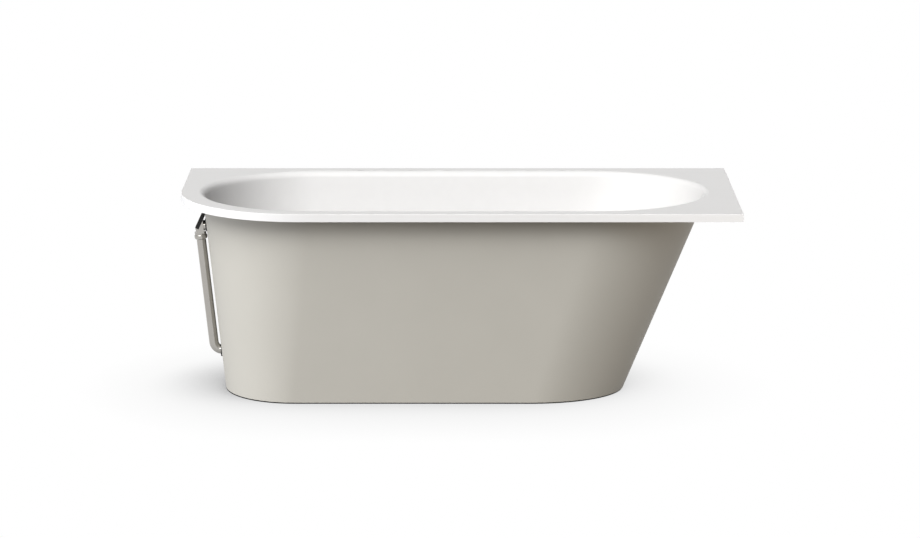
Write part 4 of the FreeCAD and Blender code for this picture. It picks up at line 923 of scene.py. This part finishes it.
def sealing_rubber():
    """Sealing rubber: matt black with a dusty bloom."""
    material, tree, place = new_material("sealing_rubber")
    bloom = add_node(tree, "ShaderNodeTexNoise", {"Vector": place, "Scale": 1 / BLOOM_SPOT, "Detail": 4.0})
    tint = add_node(tree, "ShaderNodeMix", {
        "Factor": bloom, "A": linear(RUBBER), "B": linear(RUBBER_BLOOM)}, data_type="RGBA")
    shader = add_node(tree, "ShaderNodeBsdfPrincipled", {
        "Base Color": tint.outputs["Result"], "Roughness": 0.75})
    add_node(tree, "ShaderNodeOutputMaterial", {"Surface": shader})
    return material


dress(sealing_rubber(), "overflow_outer_seal", "overflow_inner_seal", "collar_seal", "pipe_grommet",
      "waste_top_seal", "waste_bottom_seal", "plug_seal", "inlet_seal", "cup_seal", "outlet_seal")


# Waste body, trap and cable: moulded polypropylene, grey for what works the plug and white for the
# trap. The body is clamped under the drain hole, and the trap's nut holds the trap to it.

GREY_PLASTIC = "#8b8f92"
GREY_PLASTIC_PALE = "#95999b"
WHITE_PLASTIC = "#dcdcd8"
WHITE_PLASTIC_PALE = "#e6e6e2"
WAX_CLOUD = 0.020


def moulded_polypropylene(name, dark, pale):
    """Moulded polypropylene: waxy, slightly cloudy, with soft highlights."""
    material, tree, place = new_material(name)
    cloud = add_node(tree, "ShaderNodeTexNoise", {"Vector": place, "Scale": 1 / WAX_CLOUD, "Detail": 3.0})
    tint = add_node(tree, "ShaderNodeMix", {
        "Factor": cloud, "A": linear(dark), "B": linear(pale)}, data_type="RGBA")
    rough = add_node(tree, "ShaderNodeMapRange", {"Value": cloud, "To Min": 0.34, "To Max": 0.44})
    shader = add_node(tree, "ShaderNodeBsdfPrincipled", {
        "Base Color": tint.outputs["Result"], "Roughness": rough})
    add_node(tree, "ShaderNodeOutputMaterial", {"Surface": shader})
    return material


dress(moulded_polypropylene("grey_polypropylene", GREY_PLASTIC, GREY_PLASTIC_PALE),
      "waste_body", "lift_lever", "inlet_nut", "cable_drum", "control_cable")
dress(moulded_polypropylene("white_polypropylene", WHITE_PLASTIC, WHITE_PLASTIC_PALE),
      "trap_head", "trap_nut", "trap_cup", "outlet_pipe", "outlet_nut")


# Studio: a white floor with a painted soft shadow of the tub in its glow, white surroundings, two wide
# soft lamps from the left and the front, low soft boxes round the skin, and a camera at the photograph's
# view.

FLOOR_SIZE = 30
FLOOR_BOUNCE = "#5f584f"

# Painted soft shade on the floor, reckoned from the open sky round a tilted normal: the tilt, how far a
# piece shades it, and the level in full shade.
SHADE_FACING = (0.42, -0.5, 0.75)
SHADE_REACH = 0.26
DEEPEST_SHADE = 0.38

# Painted contact shade: black up to the first share of open sky, and nearly white from the second.
CONTACT_FACING = (0.3, 0.0, 0.95)
CONTACT_REACH = 0.45
CONTACT_BLACK = 0.26
CONTACT_PALE = 0.40
CONTACT_LEVEL = 0.86
SHADE_SAMPLES = 16

WORLD_LIGHT = 0.02
PANEL_HEIGHT = 0.3
PANEL_AIM = Vector((0, 0, 0.2))
LENS = 128.37
SENSOR = 36.0
CAMERA_PLACE = (0.0076, -9.9185, 2.5329)
CAMERA_TILT = math.radians(77.71)


def seen_directly(tree):
    """One where the camera, a gloss or a clear piece sees the surface, none where it only gives light."""
    path = add_node(tree, "ShaderNodeLightPath").outputs
    mirrored = add_node(tree, "ShaderNodeMath", {
        0: path["Is Camera Ray"], 1: path["Is Glossy Ray"]}, operation="MAXIMUM")
    seen = add_node(tree, "ShaderNodeMath", {
        0: mirrored, 1: path["Is Transmission Ray"]}, operation="MAXIMUM")
    return seen


def studio_sheet():
    """Matt studio sheet: glowing white to the eye, with painted shade where the tub hides the sky, and a
    plain bounce.
    """
    material, tree = new_material("white_studio_sheet")[:2]
    paper = add_node(tree, "ShaderNodeBsdfDiffuse", {"Color": linear(FLOOR_BOUNCE)})
    facing = add_node(tree, "ShaderNodeCombineXYZ", dict(zip("XYZ", SHADE_FACING)))
    open_side = add_node(tree, "ShaderNodeAmbientOcclusion", {
        "Normal": facing, "Distance": SHADE_REACH}, samples=SHADE_SAMPLES)
    painted_side_shade = add_node(tree, "ShaderNodeMapRange", {
        "Value": open_side.outputs["AO"], "To Min": DEEPEST_SHADE}, interpolation_type="SMOOTHSTEP")
    upward = add_node(tree, "ShaderNodeCombineXYZ", dict(zip("XYZ", CONTACT_FACING)))
    open_sky = add_node(tree, "ShaderNodeAmbientOcclusion", {
        "Normal": upward, "Distance": CONTACT_REACH}, samples=SHADE_SAMPLES)
    painted_contact_shade = add_node(tree, "ShaderNodeValToRGB", {"Fac": open_sky.outputs["AO"]})
    stops = painted_contact_shade.color_ramp.elements
    stops[0].position = CONTACT_BLACK
    stops[1].color = (1, 1, 1, 1)
    stops.new(CONTACT_PALE).color = (CONTACT_LEVEL, CONTACT_LEVEL, CONTACT_LEVEL, 1)
    shade = add_node(tree, "ShaderNodeMath", {
        0: painted_side_shade, 1: painted_contact_shade.outputs["Color"]}, operation="MULTIPLY")
    # Painted shadow: the glow that the camera sees is darkened by the two occlusion shades, not by the lamps.
    painted_glow = add_node(tree, "ShaderNodeEmission", {"Strength": shade})
    both = add_node(tree, "ShaderNodeMixShader", {0: seen_directly(tree), 1: paper, 2: painted_glow})
    add_node(tree, "ShaderNodeOutputMaterial", {"Surface": both})
    return material


shape = bmesh.new()
bmesh.ops.create_grid(shape, x_segments=1, y_segments=1, size=FLOOR_SIZE)
floor = piece_from(shape, "studio_floor", sharp_degrees=30)
floor.data.materials.append(studio_sheet())

world = bpy.data.worlds.new("studio")
world.use_nodes = True
bpy.context.scene.world = world
air = world.node_tree
air.nodes.clear()
level = add_node(air, "ShaderNodeMapRange", {
    "Value": seen_directly(air), "To Min": WORLD_LIGHT, "To Max": 1.0})
sky = add_node(air, "ShaderNodeBackground", {"Strength": level})
add_node(air, "ShaderNodeOutputWorld", {"Surface": sky})


def distant_lamp(name, bearing, height, spread, strength):
    """Soft box far away. Bearing from the front, negative to the left, height and spread in degrees."""
    lamp = bpy.data.lights.new(name, "SUN")
    lamp.angle = math.radians(spread)
    lamp.energy = strength
    stand = bpy.data.objects.new(name, lamp)
    stand.rotation_euler = (math.radians(90 - height), 0, math.radians(bearing))
    bpy.context.scene.collection.objects.link(stand)


def low_panel(name, place, width, watts, tint):
    """Soft box near the floor, lower than the rim, so that it lights the skin and never the basin."""
    lamp = bpy.data.lights.new(name, "AREA")
    lamp.shape = "RECTANGLE"
    lamp.size, lamp.size_y = width, PANEL_HEIGHT
    lamp.energy = watts
    lamp.color = linear(tint)[:3]
    stand = bpy.data.objects.new(name, lamp)
    stand.location = place
    stand.rotation_euler = (PANEL_AIM - stand.location).to_track_quat("-Z", "Y").to_euler()
    stand.visible_camera = False
    stand.visible_glossy = False
    bpy.context.scene.collection.objects.link(stand)


distant_lamp("key_lamp", bearing=-44, height=45, spread=40, strength=2.7)
distant_lamp("front_lamp", bearing=-6, height=35, spread=44, strength=1.95)
low_panel("left_panel", place=(-2.7, -1.05, 0.17), width=1.2, watts=31, tint="#f1f6ff")
low_panel("right_panel", place=(2.75, -1.3, 0.17), width=1.2, watts=17, tint="#fffaf4")
low_panel("back_panel", place=(0.4, 3.0, 0.17), width=2.0, watts=24, tint="#ffffff")

lens = bpy.data.cameras.new("photo_view")
lens.lens = LENS
lens.sensor_width = SENSOR
camera = bpy.data.objects.new("photo_view", lens)
camera.location = CAMERA_PLACE
camera.rotation_euler = (CAMERA_TILT, 0, 0)
bpy.context.scene.collection.objects.link(camera)
bpy.context.scene.camera = camera
